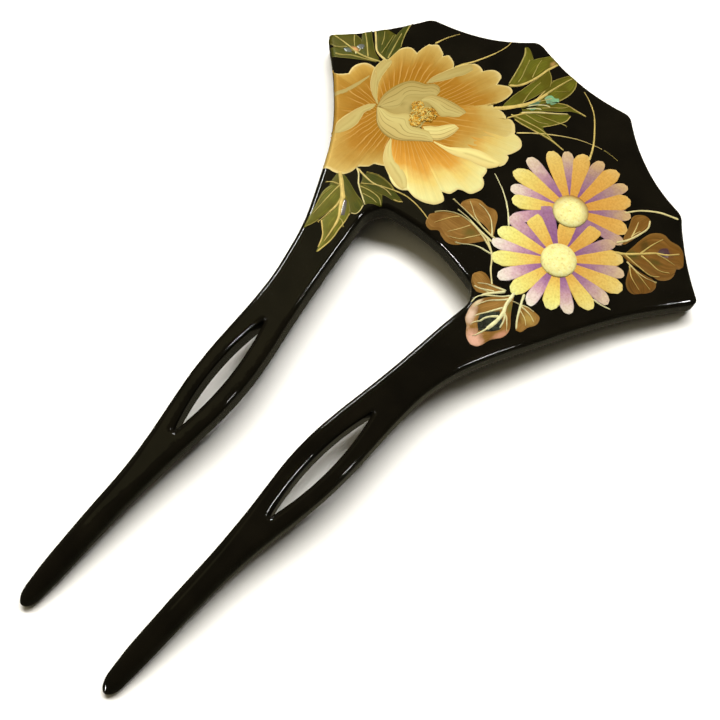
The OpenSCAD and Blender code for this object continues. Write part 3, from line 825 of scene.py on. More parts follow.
# Turned-over rims: level, tone, creases, one edge, the other edge
PEONY_FOLDS = {
    "between": (4, 0.15, 1,
        [(-22.1, 48.9), (-22.1, 50.8), (-21.3, 53.3), (-20.5, 55.2), (-19.5, 57), (-18.5, 58.3)],
        [(-21.9, 48.9), (-21, 50.1), (-19.75, 51.7), (-18.5, 53.9), (-17.7, 55.3), (-17.3, 57.4)]),
    "left_crescent": (4, 0.25, 1,
        [(-30.6, 48.6), (-31.7, 47.6), (-31.8, 45.4), (-31.3, 43.9), (-30.1, 41.9), (-28.5, 40.4),
         (-26, 39.1)],
        [(-30.2, 48.5), (-29.75, 47.3), (-29.4, 45.1), (-28.8, 42.9), (-27.6, 41.1), (-26.8, 40.2),
         (-25.9, 39.4)]),
    "low_left": (4, 0.30, 1,
        [(-26.2, 39), (-27.3, 37.9), (-28.2, 35.8), (-28.8, 33.3), (-29, 31.4), (-28.6, 30.3),
         (-27.7, 29)],
        [(-26, 38.8), (-26, 37.6), (-26.5, 36.1), (-26, 34.5), (-25.75, 33.2), (-26.1, 31.4),
         (-27.2, 29.5)]),
    "under_bowl": (5, 0.62, 1,
        [(-19.2, 35.2), (-18.8, 33.3), (-17.9, 31.5), (-16.9, 30.4), (-15.4, 29.45), (-13.6, 28.65),
         (-11.7, 28.2), (-10.4, 28.4)],
        [(-18.9, 35.1), (-17.6, 33.7), (-16.4, 32.6), (-15, 31.9), (-13.4, 31.8), (-12, 31.3),
         (-10.8, 30.3), (-10, 29)]),
    "right_curl": (6, 1.0, 1,
        [(-12.8, 39.7), (-10.1, 39.75), (-7.9, 40.05), (-5.4, 40.95), (-3.6, 41.3), (-1.9, 42),
         (-0.7, 43.4), (-0.4, 44.5)],
        [(-12.8, 39.9), (-10.2, 40.7), (-8.6, 41.9), (-7, 43.2), (-5.5, 44.1), (-3.8, 44.5), (-2.2, 44.6),
         (-0.6, 44.7)]),
    "left_streak": (2, 0.10, 1,
        [(-31.3, 43.4), (-32.2, 40), (-33.2, 37.2), (-34.4, 35.3)],
        [(-31.1, 43), (-31.4, 39.6), (-32.2, 36.8), (-33.7, 34.6)]),
}
# Petals of the cup round the stamens: level, tone, creases, outer edge, inner edge
PEONY_CUP = {
    "cup_floor": (4, 0.10, 1,
        [(-25.2, 39), (-22, 37.8), (-18.6, 38), (-16.9, 39.2), (-16.5, 40.6)],
        [(-24.6, 43.6), (-22.6, 46.6), (-19.6, 46.8), (-17.4, 45), (-16.7, 43)]),
    "cup_left": (5, 0.15, 5,
        [(-25.6, 38.6), (-26.4, 41.4), (-26.2, 43.9), (-25.6, 45.8), (-24.6, 47.4), (-23.2, 48.2),
         (-21.9, 48.7), (-20.9, 49.8), (-19.6, 49.9), (-18.8, 49.1)],
        [(-25.1, 39.1), (-23.8, 39.3), (-22.2, 39.8), (-21.2, 40.7), (-21.5, 41.7), (-22, 42.6),
         (-21.8, 43.6), (-21.2, 44.5), (-20.2, 45.5), (-18.7, 47.6)]),
    "cup_back": (6, 0.32, 5,
        [(-20.3, 46), (-19.4, 47.6), (-17.8, 48.4), (-16, 48.9), (-14, 49.1), (-12.8, 49.1), (-12, 48.8)],
        [(-20.5, 44.7), (-19, 45.5), (-17, 45.3), (-15.2, 44.8), (-14.2, 45.7), (-13.3, 46.3),
         (-12.5, 47.2)]),
    "cup_right": (6, 0.75, 4,
        [(-13.8, 39.6), (-12.3, 40.4), (-11.3, 42), (-10.9, 43.8), (-11, 45.5)],
        [(-16.4, 41), (-15.6, 41.9), (-14.5, 42.7), (-13.4, 44.2), (-12.1, 45.5)]),
    "cup_bowl": (7, 0.45, 5,
        [(-25.5, 38.5), (-24.3, 37), (-23.1, 35.8), (-21.3, 35.05), (-19.4, 35), (-17.6, 35.7), (-16, 37),
         (-14.4, 38.3), (-12.7, 39.7)],
        [(-25.3, 38.75), (-24, 39.15), (-22.6, 39.4), (-21.5, 40.1), (-20.6, 41.3), (-19.7, 41.9),
         (-18.9, 40.6), (-17.6, 40), (-16.2, 40.5), (-14.6, 41), (-13, 40.1)]),
}
print("peony:", len(PEONY_PETALS), "petals,", len(PEONY_FOLDS), "folds,", len(PEONY_CUP), "parts of the cup")

# %% Peony petals
# Height of the lowest layer over the skin, and of each level over the one below
FIRST_LIFT = 0.06 * MM
LEVEL_H = 0.022 * MM
PETAL_STEP = 0.28


def ribs(across, along, height, crown):
    """Relief with fine ribs on a gently crowned petal: across and along count them."""
    def relief(u, v):
        wave = np.cos(2 * np.pi * (u * across + v * along + 0.5))
        fade = np.sin(np.pi * np.clip(v if across else u, 0, 1))**0.6
        return fade * (height * np.clip(wave, 0, 1)**4) + crown * np.sin(np.pi * u) * np.sin(np.pi * v)
    return relief


def petals_of(name, table, rib_height, crown, along, levels, creased=False):
    """Lays every petal of a table, with points about PETAL_STEP apart, and joins them."""
    laid = []
    for part, (level, tone, count, near, far) in table.items():
        stripes = (0, count) if creased else (count, 0)
        grid = between(near, far, max(12, int(curve_length(far) / PETAL_STEP)), along)
        laid.append(laid_grid(part, grid, FIRST_LIFT + level * LEVEL_H,
                              ribs(*stripes, rib_height, crown), tone, stripes))
    return joined(name, laid, FIRST_LIFT + levels * LEVEL_H)


peony_petals = petals_of("peony_petals_laid", PEONY_PETALS, 0.02 * MM, 0.06 * MM, 36, 6)
peony_folds = petals_of("peony_folds_laid", PEONY_FOLDS, 0.01 * MM, 0.05 * MM, 12, 6, True)
peony_cup = petals_of("peony_cup_laid", PEONY_CUP, 0.02 * MM, 0.10 * MM, 26, 8, True)

# %% [markdown]
# Real stamens are drawn as a tuft of coarse gold grains. One grain is a small ball of few faces;
# copies of it are scattered over four round tufts, each copy turned and sized by chance. The
# seed is fixed, so the tuft is the same every time.

# %% Stamens
# Round tufts: x, y, radius
TUFTS = np.array([[-19.8, 43.7, 1.2], [-17.1, 43.7, 1.5], [-18.5, 42.2, 1.5], [-18.1, 40.8, 1.1]])
GRAINS = 430
GRAIN_GAP = 0.125
GRAIN_RADII = (0.11, 0.18)
rng = np.random.default_rng(7)


def scattered(rows, count, spacing):
    """count places inside round patches x, y, radius, no two nearer than spacing."""
    found = []
    while len(found) < count:
        row = rows[rng.integers(len(rows))]
        angle = rng.uniform(0, 2 * np.pi)
        reach = row[2] * math.sqrt(rng.uniform())
        place = row[:2] + reach * np.array([math.cos(angle), math.sin(angle)])
        if all(np.hypot(*(place - other)) > spacing for other in found):
            found.append(place)
    return np.array(found)


places = on_skin(scattered(TUFTS, GRAINS, GRAIN_GAP) * MM, FIRST_LIFT + 10 * LEVEL_H)
grains = []
for at in places:
    bpy.ops.mesh.primitive_ico_sphere_add(subdivisions=1, radius=rng.uniform(*GRAIN_RADII) * MM, location=at)
    grain = bpy.context.object
    grain.rotation_euler = rng.uniform(0, 3, 3)
    grains.append(grain)
stamens = join_all("peony_stamens_tuft", grains)
bpy.ops.object.transform_apply(location=True, rotation=True, scale=True)
print("grains:", len(grains))

# %% [markdown]
# The petals are painted in gold powder that is thick and orange at the base and thins to pale
# yellow at the rim. The finish mixes an ochre scale and a bright scale by each petal's tone. Faint
# streaks are a noise that is stretched along the petal. Veins are drawn where the stripe that the
# grid carries is a whole number, and a last pale line follows the rim. The powder sparkles a
# little, so a very fine cell pattern changes the roughness.

# %% Gold petal finish
OCHRE_STOPS = [(0.0, 0xAA7610), (0.35, 0xA67010), (0.7, 0xB08024), (0.93, 0xC89E42), (1.0, 0xD8B66A)]
BRIGHT_STOPS = [(0.0, 0xC08420), (0.3, 0xDA9830), (0.5, 0xEEB048), (0.7, 0xFFE484), (1.0, 0xFFFFB4)]
SAGE_STOPS = [(0.0, 0xA38C48), (0.2, 0xAF9852), (0.6, 0xB8A35E), (1.0, 0xA48E48)]
CREAM_STOPS = [(0.0, 0xE4C878), (0.15, 0xF3DC8C), (0.7, 0xFFF2A0), (1.0, 0xF0D884)]
LINE_WIDTH = 0.13


def carried(tree, name):
    """Value that the points of the piece carry under this name."""
    return add_node(tree, "ShaderNodeAttribute", {"attribute_name": name}).outputs["Fac"]


def petal_place(tree):
    """The UV of a laid grid, its two values from 0 to 1, and its tone."""
    uv = add_node(tree, "ShaderNodeTexCoord").outputs["UV"]
    parts = add_node(tree, "ShaderNodeSeparateXYZ", Vector=uv).outputs
    return uv, parts["X"], parts["Y"], carried(tree, "tone")


def stretched(tree, uv, across, along, detail, **values):
    """Noise whose cells are counted across and along a laid grid."""
    at = add_node(tree, "ShaderNodeMapping", Vector=uv, Scale=(across, along, 1.0)).outputs["Vector"]
    return noise(tree, 1.0, detail, at, **values)


def shifted(tree, value, pattern, amount):
    """value, moved to both sides by a pattern whose middle is 0.5."""
    return maths(tree, "ADD", value, maths(tree, "MULTIPLY", maths(tree, "SUBTRACT", pattern, 0.5), amount))


def near_zero(tree, value, width):
    """Strength of a line where value is 0, which ends at width."""
    return maths(tree, "SUBTRACT", 1.0, maths(tree, "DIVIDE", value, width), clamp=True)


def outline(tree, side, width):
    """Strength of a line along both ends of side, which runs from 0 to 1."""
    return near_zero(tree, maths(tree, "MINIMUM", side, maths(tree, "SUBTRACT", 1.0, side)), width)


def drawn_lines(tree, wobble, reach):
    """Fine lines where stripe is a whole number: their strength, and a number for each line."""
    moved = shifted(tree, carried(tree, "stripe"), noise(tree, reach), wobble)
    line = near_zero(tree, maths(tree, "PINGPONG", moved, 0.5), LINE_WIDTH)
    return line, maths(tree, "ROUND", moved)


def powder(tree, surface, colour, rough=(0.42, 0.62), metal=0.25):
    """Gold powder of a colour: fine cells that differ in roughness, and a grain in the surface."""
    cells = add_node(tree, "ShaderNodeTexVoronoi", Vector=object_place(tree), Scale=9000.0)
    wire(tree, surface, Base_Color=colour, Metallic=metal, Specular_IOR_Level=0.1,
         Roughness=ramp(tree, cells.outputs["Color"], (0.0, rough[0]), (1.0, rough[1])),
         Normal=bumped(tree, noise(tree, 5200.0), 0.12, 0.0001))


def petal_gold(name):
    """Petal of gold powder that fades from base to rim, with fine veins of uneven length."""
    material, tree, surface = shader_nodes(name)
    uv, across, along, tone = petal_place(tree)
    moved = shifted(tree, along, noise(tree, 420.0, 3.0), 0.25)
    # The tone is partly the paint's own and partly painted light, higher on the petals towards the right.
    colour = mixed(tree, tone, ramp(tree, moved, *OCHRE_STOPS), ramp(tree, moved, *BRIGHT_STOPS))
    streak = stretched(tree, uv, 46.0, 1.2, 3.0, Distortion=0.25)
    colour = shaded(tree, colour, streak, (0.3, 0.93), (0.7, 1.06))
    line, line_no = drawn_lines(tree, 0.9, 260.0)
    chance = add_node(tree, "ShaderNodeTexWhiteNoise", {"noise_dimensions": "1D"}, W=line_no)
    limit = maths(tree, "ADD", maths(tree, "MULTIPLY", chance.outputs["Value"], 0.34), 0.42)
    inside = maths(tree, "MULTIPLY", maths(tree, "SUBTRACT", limit, along), 5.0, clamp=True)
    line = maths(tree, "MULTIPLY", maths(tree, "MULTIPLY", line, inside), 0.6)
    colour = mixed(tree, line, colour, 0xE8BC68)
    colour = mixed(tree, ramp(tree, along, (0.955, 0.0), (0.985, 0.8)), colour, 0xF4DE98)
    powder(tree, surface, colour)
    return material


def pale_fold(name, edge_colour, edge_width, crease_colour, crease):
    """Sage to cream turned rim with an outline, and with fine creases along it."""
    material, tree, surface = shader_nodes(name)
    uv, across, along, tone = petal_place(tree)
    # The tone is partly the paint's own and partly painted light, higher on the folds and cup parts towards
    # the right.
    colour = mixed(tree, tone, ramp(tree, along, *SAGE_STOPS), ramp(tree, along, *CREAM_STOPS))
    shown = maths(tree, "MULTIPLY", ramp(tree, stretched(tree, uv, 3.0, 3.0, 1.0), (0.30, 0.0), (0.40, 1.0)),
                  ramp(tree, along, (0.55, 1.0), (0.8, 0.2)))
    line = maths(tree, "MULTIPLY", drawn_lines(tree, 0.25, 300.0)[0], shown)
    colour = mixed(tree, maths(tree, "MULTIPLY", line, crease), colour, crease_colour)
    colour = mixed(tree, outline(tree, along, edge_width), colour, edge_colour)
    powder(tree, surface, colour, metal=0.1)
    return material


dress(peony_petals, petal_gold("gold_orange_petal"), "gold_orange_petal", "peony_petals")
dress(peony_folds, pale_fold("pale_gold_fold", 0xE6D28A, 0.12, 0xB09A50, 0.4),
      "pale_gold_fold", "peony_folds")
dress(peony_cup, pale_fold("pale_gold_cup", 0x9C8640, 0.06, 0x84702E, 0.75),
      "pale_gold_fold", "peony_cup")

material, tree, surface = shader_nodes("gold_grain")
speck = add_node(tree, "ShaderNodeTexVoronoi", Vector=object_place(tree), Scale=2600.0).outputs["Color"]
powder(tree, surface, ramp(tree, speck, (0.0, 0xB47412), (0.4, 0xF4B83C), (1.0, 0xFFFFA8)),
       (0.35, 0.55), 0.15)
dress(stamens, material, "gold_grain", "peony_stamens")

# %% [markdown]
# A drawn chrysanthemum is a wheel of gold and purple petals. One function shapes a petal as a grid
# that starts slim under the raised middle, is widest near its end and closes in a round tip. A short
# table then gives every petal its direction and its length, because a brush never repeats itself.
# The lower flower lies over the upper one, and gold lies over purple.

# %% Chrysanthemum petals
UPPER_AT = np.array([14.8, 45.9])
LOWER_AT = np.array([19.4, 36.4])
PETAL_ROOT = 2.4
WIDEST = 0.80
# Direction in degrees and length in millimetres of each petal, and how far its colour fades
UPPER_GOLD = [
    (182, 12.6, 1), (144, 12.5, 1), (116, 12.2, 1), (84, 12.6, 1), (53, 11.6, 1), (21, 10.9, 1),
    (212, 10.8, 1), (-68, 9.6, 0.6)]
UPPER_PURPLE = [
    (165, 12.8, 1), (130, 12.2, 1), (99, 12.3, 1), (68, 12.2, 1), (37, 11.2, 1),
    (6, 11.2, 0.9), (199, 11.6, 1), (232, 11.0, 0.75)]
LOWER_GOLD = [
    (83, 9.9, 0.6), (46, 11.8, 1), (16, 12.4, 1), (-19, 10.6, 1), (-61, 9.6, 1),
    (-104, 10.8, 1), (-140, 12.0, 1), (-169, 12.1, 1), (158, 9.6, 0.6), (114, 7.8, 0.5)]
LOWER_PURPLE = [
    (62, 11.2, 0.85), (31, 12.0, 1), (-1, 11.6, 1), (-42, 10.2, 1), (-84, 10.4, 1),
    (-122, 11.6, 1), (-155, 12.4, 1), (176, 12.0, 0.75), (140, 11.2, 0.35), (94, 10.2, 0.3)]
# Petals whose tips lie under another petal, by their direction
SQUARE_ENDS = (83, 158, 114, 140)
GOLD_HALF, PURPLE_HALF, ROOT_HALF = 1.58, 1.20, 0.62
# Direction in degrees towards which the wheel petals get painted light
PAINTED_LIGHT_SIDE = 242
COUNT_ACROSS, COUNT_ALONG = 13, 26


def flower_petal(at, degrees, length, half_wide, blunt):
    """Grid of one petal, in millimetres: rows run across it, from the root to the tip.

    blunt is the height of its round end, in half widths: 0 is cut square. The sines of degrees
    lean and wave each end a little in a way of its own."""
    u = np.linspace(-1, 1, COUNT_ACROSS)[None]
    v = np.linspace(0, 1, COUNT_ALONG)[:, None]
    swell = np.sin(np.pi / 2 * np.clip(v / WIDEST, 0, 1))**0.95
    close = 1 - 0.16 * np.clip((v - WIDEST) / (1 - WIDEST), 0, 1)**2
    half = (ROOT_HALF + (half_wide - ROOT_HALF) * swell) * close
    round_end = blunt * half_wide * (1 - np.sqrt(1 - 0.95 * np.abs(u)**2.1))
    slant = half_wide * (0.25 * math.sin(5.1 * degrees) * u + 0.035 * np.cos(8.5 * u + degrees))
    reach = PETAL_ROOT + (length - PETAL_ROOT) * v - (round_end + slant) * v**6
    turn_by = math.radians(degrees)
    ahead = np.array([math.cos(turn_by), math.sin(turn_by)])
    aside = np.array([-ahead[1], ahead[0]])
    return at + reach[..., None] * ahead + (half * u)[..., None] * aside


def flower_petals(name, at, rows, level, half_wide, tone):
    """Lays one colour of petals of a flower as one piece."""
    laid = []
    for degrees, length, fade in rows:
        half = half_wide * (1 + 0.05 * math.sin(3.7 * degrees))
        grid = flower_petal(at, degrees, length, half, 0.1 if degrees in SQUARE_ENDS else 0.95)
        # Painted light: a petal's tone rises as it points towards this side and falls on the far side,
        # standing in for how the light falls on the flower.
        bright = tone + 0.48 * math.cos(math.radians(degrees - PAINTED_LIGHT_SIDE))
        laid.append(laid_grid(name, grid, FIRST_LIFT + level * LEVEL_H,
                              ribs(3, 0, 0.012 * MM, 0.06 * MM), bright, (3, 0), fade))
    return joined(name, laid, FIRST_LIFT + (level + 1) * LEVEL_H)


upper_purple = flower_petals("upper_purple_petals", UPPER_AT, UPPER_PURPLE, 0, PURPLE_HALF, 0.36)
upper_gold = flower_petals("upper_gold_petals", UPPER_AT, UPPER_GOLD, 1, GOLD_HALF, 0.36)
lower_purple = flower_petals("lower_purple_petals", LOWER_AT, LOWER_PURPLE, 3, PURPLE_HALF, 0.60)
lower_gold = flower_petals("lower_gold_petals", LOWER_AT, LOWER_GOLD, 4, GOLD_HALF, 0.70)

# %% Raised middles
MIDDLE_R = 3.30 * MM
MIDDLE_H = 0.80 * MM
GRAIN_H = 0.004 * MM
SHADE_SIDE = math.radians(105)


def raised_middle(name, at, painted_shade):
    """Low dome of fine grains: the top of a ball, pressed flat, and cut where it meets the petals.

    The last argument is how dark the painted shade at its foot gets on one side, from 0 to 1."""
    ground = on_skin(at[None] * MM)[0]
    bpy.ops.object.select_all(action="DESELECT")
    bpy.ops.mesh.primitive_uv_sphere_add(segments=72, ring_count=40, radius=MIDDLE_R, location=(0, 0, 0))
    dome = bpy.context.object
    dome.name = dome.data.name = name
    bpy.ops.object.mode_set(mode="EDIT")
    bpy.ops.mesh.select_all(action="SELECT")
    bpy.ops.mesh.bisect(plane_co=(0, 0, 0), plane_no=(0, 0, 1), clear_inner=True, use_fill=True)
    bpy.ops.object.mode_set(mode="OBJECT")
    co = coordinates(dome.data)
    x, y = co[:, 0].copy(), co[:, 1].copy()
    radius = np.hypot(x, y) / MIDDLE_R
    co[:, 2] = MIDDLE_H * np.sqrt(np.clip(1 - radius**2.8, 0, 1)) * (co[:, 2] > 0)
    grain = rng.normal(0, GRAIN_H, len(co))
    co[:, 2] += np.where(co[:, 2] > 0.05 * MM, grain * (radius > 0.08), 0)
    lean = ground[:2] / TOP_R
    lift = np.where(co[:, 2] > 0.01 * MM, FIRST_LIFT + 4 * LEVEL_H, 0)
    co[:, 2] += ground[2] + lift - co[:, :2] @ lean
    co[:, :2] += ground[:2]
    set_coordinates(dome.data, co)
    # Painted shade: the tone darkens the dome's foot on the side towards SHADE_SIDE.
    shaded_side = 0.5 + 0.5 * np.cos(np.arctan2(y, x) - SHADE_SIDE)
    set_values(dome.data, "tone", painted_shade * np.clip((radius - 0.45) / 0.5, 0, 1) * shaded_side)
    bpy.ops.object.shade_smooth_by_angle(angle=math.radians(50))
    print(name, "points:", len(co))
    return dome


upper_middle = raised_middle("upper_middle_dome", UPPER_AT + [0.22, -0.26], 1.0)
lower_middle = raised_middle("lower_middle_dome", LOWER_AT, 0.25)

# %% [markdown]
# The wheel petals are flatter in colour than the peony: gold goes from orange at the root to lemon at the
# tip, and purple fades to a pinkish white, as if the brush ran dry. The middles are cream, with painted
# shade that darkens their foot on one side.

# %% Chrysanthemum finishes
WHEEL_GOLD = ([(0.0, 0xE0A448), (0.5, 0xE4AE52), (0.85, 0xE6B65C), (1.0, 0xE8C274)],
              [(0.0, 0xEFB64E), (0.35, 0xFDDE74), (0.7, 0xFFF68A), (1.0, 0xFFFFA4)], 0xC98A38)
WHEEL_PURPLE = ([(0.0, 0x8E5892), (0.3, 0xA07494), (0.6, 0xB4908E), (0.85, 0xCCAA80), (1.0, 0xDABA86)],
                [(0.0, 0x94609A), (0.3, 0xBA86B0), (0.55, 0xE2B4C4), (0.8, 0xFCE8E2), (1.0, 0xFFFAEC)],
                0x7C5590)
SPECK_SHARE = 0.5


def wheel_petal(name, low, high, speck_colour):
    """Petal that fades along its length, with faint lines and small specks."""
    material, tree, surface = shader_nodes(name)
    uv, across, along, tone = petal_place(tree)
    moved = shifted(tree, along, noise(tree, 900.0, 3.0), 0.35)
    colour = mixed(tree, tone, ramp(tree, moved, *low), ramp(tree, moved, *high))
    streak = stretched(tree, uv, 9.0, 0.8, 2.0, Distortion=0.2)
    colour = shaded(tree, colour, streak, (0.3, 0.92), (0.7, 1.05))
    colour = shaded(tree, colour, noise(tree, 2700.0), (0.35, (0.91, 0.87, 0.81)), (0.6, 1.04))
    cells = add_node(tree, "ShaderNodeTexVoronoi", Vector=object_place(tree), Scale=700.0)
    speck = ramp(tree, cells.outputs["Distance"], (0.05, SPECK_SHARE), (0.12, 0.0))
    colour = mixed(tree, speck, colour, speck_colour)
    line = maths(tree, "MULTIPLY", outline(tree, across, 0.09), 0.45)
    powder(tree, surface, mixed(tree, line, colour, speck_colour), metal=0.12)
    return material


wheel_gold = wheel_petal("gold_petal", *WHEEL_GOLD)
wheel_purple = wheel_petal("purple_petal", *WHEEL_PURPLE)
dress(upper_purple, wheel_purple, "purple_petal", "upper_chrysanthemum_purple")
dress(upper_gold, wheel_gold, "gold_petal", "upper_chrysanthemum_gold")
dress(lower_purple, wheel_purple, "purple_petal", "lower_chrysanthemum_purple")
dress(lower_gold, wheel_gold, "gold_petal", "lower_chrysanthemum_gold")

material, tree, surface = shader_nodes("cream_gold_middle")
colour = ramp(tree, noise(tree, 1900.0, 3.0), (0.25, 0xF8EA8C), (0.5, 0xFFFCA4), (0.75, 0xFFFFB8))
colour = mixed(tree, 1.0, colour, (1.10, 1.09, 1.20), "MULTIPLY")
# The dome's tone is painted shade: it mixes ochre into one side of the foot.
colour = mixed(tree, carried(tree, "tone"), colour, 0xA06C20)
speck = ramp(tree, noise(tree, 2400.0), (0.58, 0.0), (0.7, SPECK_SHARE))
powder(tree, surface, mixed(tree, speck, colour, 0xD8A85C), metal=0.08)
dress(upper_middle, material, "cream_gold_middle", "upper_chrysanthemum_middle")
dress(lower_middle, material, "cream_gold_middle", "lower_chrysanthemum_middle")

# %% [markdown]
# A leaf lies between its two edges, so the same bent grid makes it: one edge is drawn from base
# to tip, then the other. The veins and stems are drawn last, in thick gold lacquer. Each is a long
# narrow grid that follows a brush line and thins towards its end, so it stands proud as a real
# line of lacquer does.

# %% Leaf tables, in millimetres
# Each leaf: level, tone from dark to pale, one edge from base to tip, the other edge
GREEN_LEAVES = {
    "top_a": (0, 0.75,
        [(-10.3, 59), (-10.7, 60.8), (-11.1, 63), (-11.7, 65), (-12.4, 67.3), (-13.4, 68.4)],
        [(-9.4, 59.4), (-9.3, 61.2), (-10, 64), (-10.8, 66.6), (-10.5, 67.3), (-11.2, 67.9), (-12, 68.5),
         (-12.9, 68.9), (-13.4, 68.5)]),
    "top_b": (1, 0.7,
        [(-9.8, 59.2), (-9.3, 61.2), (-10.1, 64), (-10.9, 66.6), (-10.3, 67.4), (-9.9, 68.2),
         (-9.2, 69.2), (-8.4, 70.6), (-8, 71.6)],
        [(-9.5, 59.2), (-8.8, 60.2), (-8, 62), (-7.4, 64), (-7.1, 65.6), (-6.9, 67.2), (-6.6, 68.2),
         (-6.1, 69.6), (-5.8, 71.2)]),
    "top_c": (1, 0.62,
        [(-8.1, 54.4), (-8.2, 56), (-8, 58.4), (-7.6, 61), (-7.2, 63.4), (-7, 65.4), (-6.9, 67.2)],
        [(-7.8, 54.4), (-6.2, 56.8), (-5.2, 59.6), (-4.4, 62.6), (-4.1, 64.4), (-4.9, 65.7), (-5.8, 66.7),
         (-6.8, 67.3)]),
    "top_d": (0, 0.7,
        [(-5.6, 56.8), (-4.7, 59.4), (-4.3, 62), (-4.6, 65.6), (-3.9, 67.4), (-3, 69.2), (-2.6, 70.8)],
        [(-5.2, 56.8), (-3.4, 59.6), (-2, 61.6), (-0.9, 63.2), (-0.5, 64.6), (-0.25, 66.2), (-0.6, 67.8),
         (-1.3, 69.1), (-1.8, 70.6)]),
    "top_e": (1, 0.55,
        [(-5, 56.6), (-4, 57.9), (-2.8, 60), (-1, 62.4), (0.6, 63.4), (2.6, 63.65), (4.9, 63.85)],
        [(-4.7, 56.4), (-3.2, 57.6), (-2, 58.8), (-0.8, 60), (0.6, 61.2), (2, 62.6), (3.4, 63.3),
         (4.9, 63.7)]),
    "top_f": (0, 0.6,
        [(-4.8, 56), (-3.8, 56.9), (-2, 58.5), (0, 60.1), (2.2, 61.9)],
        [(-4.8, 55.3), (-2, 55.6), (0.2, 56.1), (1.4, 57.6), (2.2, 59), (2.8, 60.4), (2.8, 61.6)]),
    "top_g": (1, 0.6,
        [(-5.6, 54.4), (-4.4, 55.6), (-2, 56), (0.2, 56.2), (1, 55.8), (3.2, 55.4), (6.3, 55)],
        [(-5.2, 54.1), (-4, 53.9), (-2, 54.2), (0, 54.4), (3.2, 54.8), (6.3, 54.8)]),
    "left_a": (0, 0.05,
        [(-31, 47.9), (-30.7, 49), (-30.9, 50.8), (-31.2, 52.2), (-31.8, 53.3), (-32.5, 55.2),
         (-33.1, 57.2), (-33.4, 58.4)],
        [(-31.8, 48), (-32.8, 50), (-33.6, 53), (-33.8, 54.6), (-33.9, 56.6), (-33.9, 58.4)]),
    "left_b": (1, 0.08,
        [(-31.6, 47.9), (-32.6, 50), (-33.4, 52.6), (-33.8, 53.8)],
        [(-31.4, 47.8), (-33, 48), (-34.2, 48.5), (-35.4, 49.7), (-36.4, 50.8), (-39, 53.4)]),
    "left_c": (1, 0.15,
        [(-32.4, 47.2), (-34, 47.9), (-35.6, 49.2), (-37, 50.4), (-39, 52.4)],
        [(-32.6, 46.6), (-34.6, 46.2), (-36.4, 46.4), (-38, 48.4), (-38.7, 49.4), (-40.2, 51.4)]),
    "left_d": (0, 0.2,
        [(-33.4, 46.8), (-36, 47.4), (-38.2, 48.5), (-39.8, 48.7), (-41.6, 48.6), (-43.8, 47.4),
         (-45.4, 46.2)],
        [(-33, 46.6), (-36, 45.8), (-38.6, 45), (-40.4, 43.9), (-42, 43.8), (-43.8, 43.6),
         (-45.6, 44.6)]),
    "left_e": (0, 0.22,
        [(-32.4, 46.4), (-35, 45.9), (-38, 45.2), (-40, 44.3), (-40.9, 43.7), (-41.8, 42.4)],
        [(-32.6, 46.1), (-34.8, 44.9), (-37, 43.5), (-38.6, 42.4), (-40, 41.6), (-41.4, 40.6)]),
    "neck_a": (0, 0.05,
        [(-18, 26), (-17.1, 27), (-15.7, 27.6), (-14.1, 27.7), (-12.5, 27.5), (-11.6, 27.1),
         (-10.3, 26.9), (-8.8, 26.5)],
        [(-18, 25.8), (-17.4, 25.2), (-17, 24.5), (-15, 24.5), (-12.9, 24.9), (-12.1, 25.3), (-10, 25.6),
         (-9.1, 26), (-8.8, 26.4)]),
    "neck_b": (1, 0.2,
        [(-17.4, 24.1), (-16, 24.5), (-14, 24.9), (-12.6, 25), (-12.1, 24.5), (-11.6, 24), (-11.2, 23.4)],
        [(-17.2, 23.7), (-15.3, 22.6), (-13.6, 21.6), (-13.4, 22), (-12.6, 22.6), (-11.4, 23),
         (-11.2, 23.3)]),
    "neck_c": (0, 0.2,
        [(-20.9, 23.8), (-19.4, 23.4), (-18, 22.9), (-16.2, 22.2), (-14.6, 21.8), (-13.8, 21.3)],
        [(-20.4, 23), (-19, 21.4), (-17.6, 20.6), (-16, 19.8), (-14.5, 18.6), (-13.4, 19.2)]),
    "neck_d": (1, 0.9,
        [(-17.6, 20.8), (-17.6, 18.4), (-17.5, 16), (-17.4, 14), (-16.4, 13), (-15.4, 12.1),
         (-14.6, 10.8), (-14.1, 8.8)],
        [(-17.4, 20.8), (-15.6, 19.5), (-14.5, 18.3), (-14.1, 17), (-13.9, 15.6), (-13.9, 14.7),
         (-13.6, 13.2), (-13.55, 12), (-13.8, 10.2), (-14, 8.8)]),
    "neck_e": (0, 0.65,
        [(-20.2, 21.8), (-20.9, 20.6), (-21.2, 19), (-20.9, 17.5), (-20.4, 15.9), (-19.9, 14),
         (-19.4, 12.2), (-18.9, 10.8)],
        [(-19, 21.4), (-18, 20.4), (-17.6, 18.4), (-17.7, 16.1), (-18, 14), (-18.4, 12.2), (-18.8, 11)]),
    "neck_f": (0, 0.3,
        [(-21.7, 23), (-21.5, 21.6), (-21.2, 20.4)],
        [(-20.4, 23.2), (-20, 21.8), (-20, 20.8)]),
}
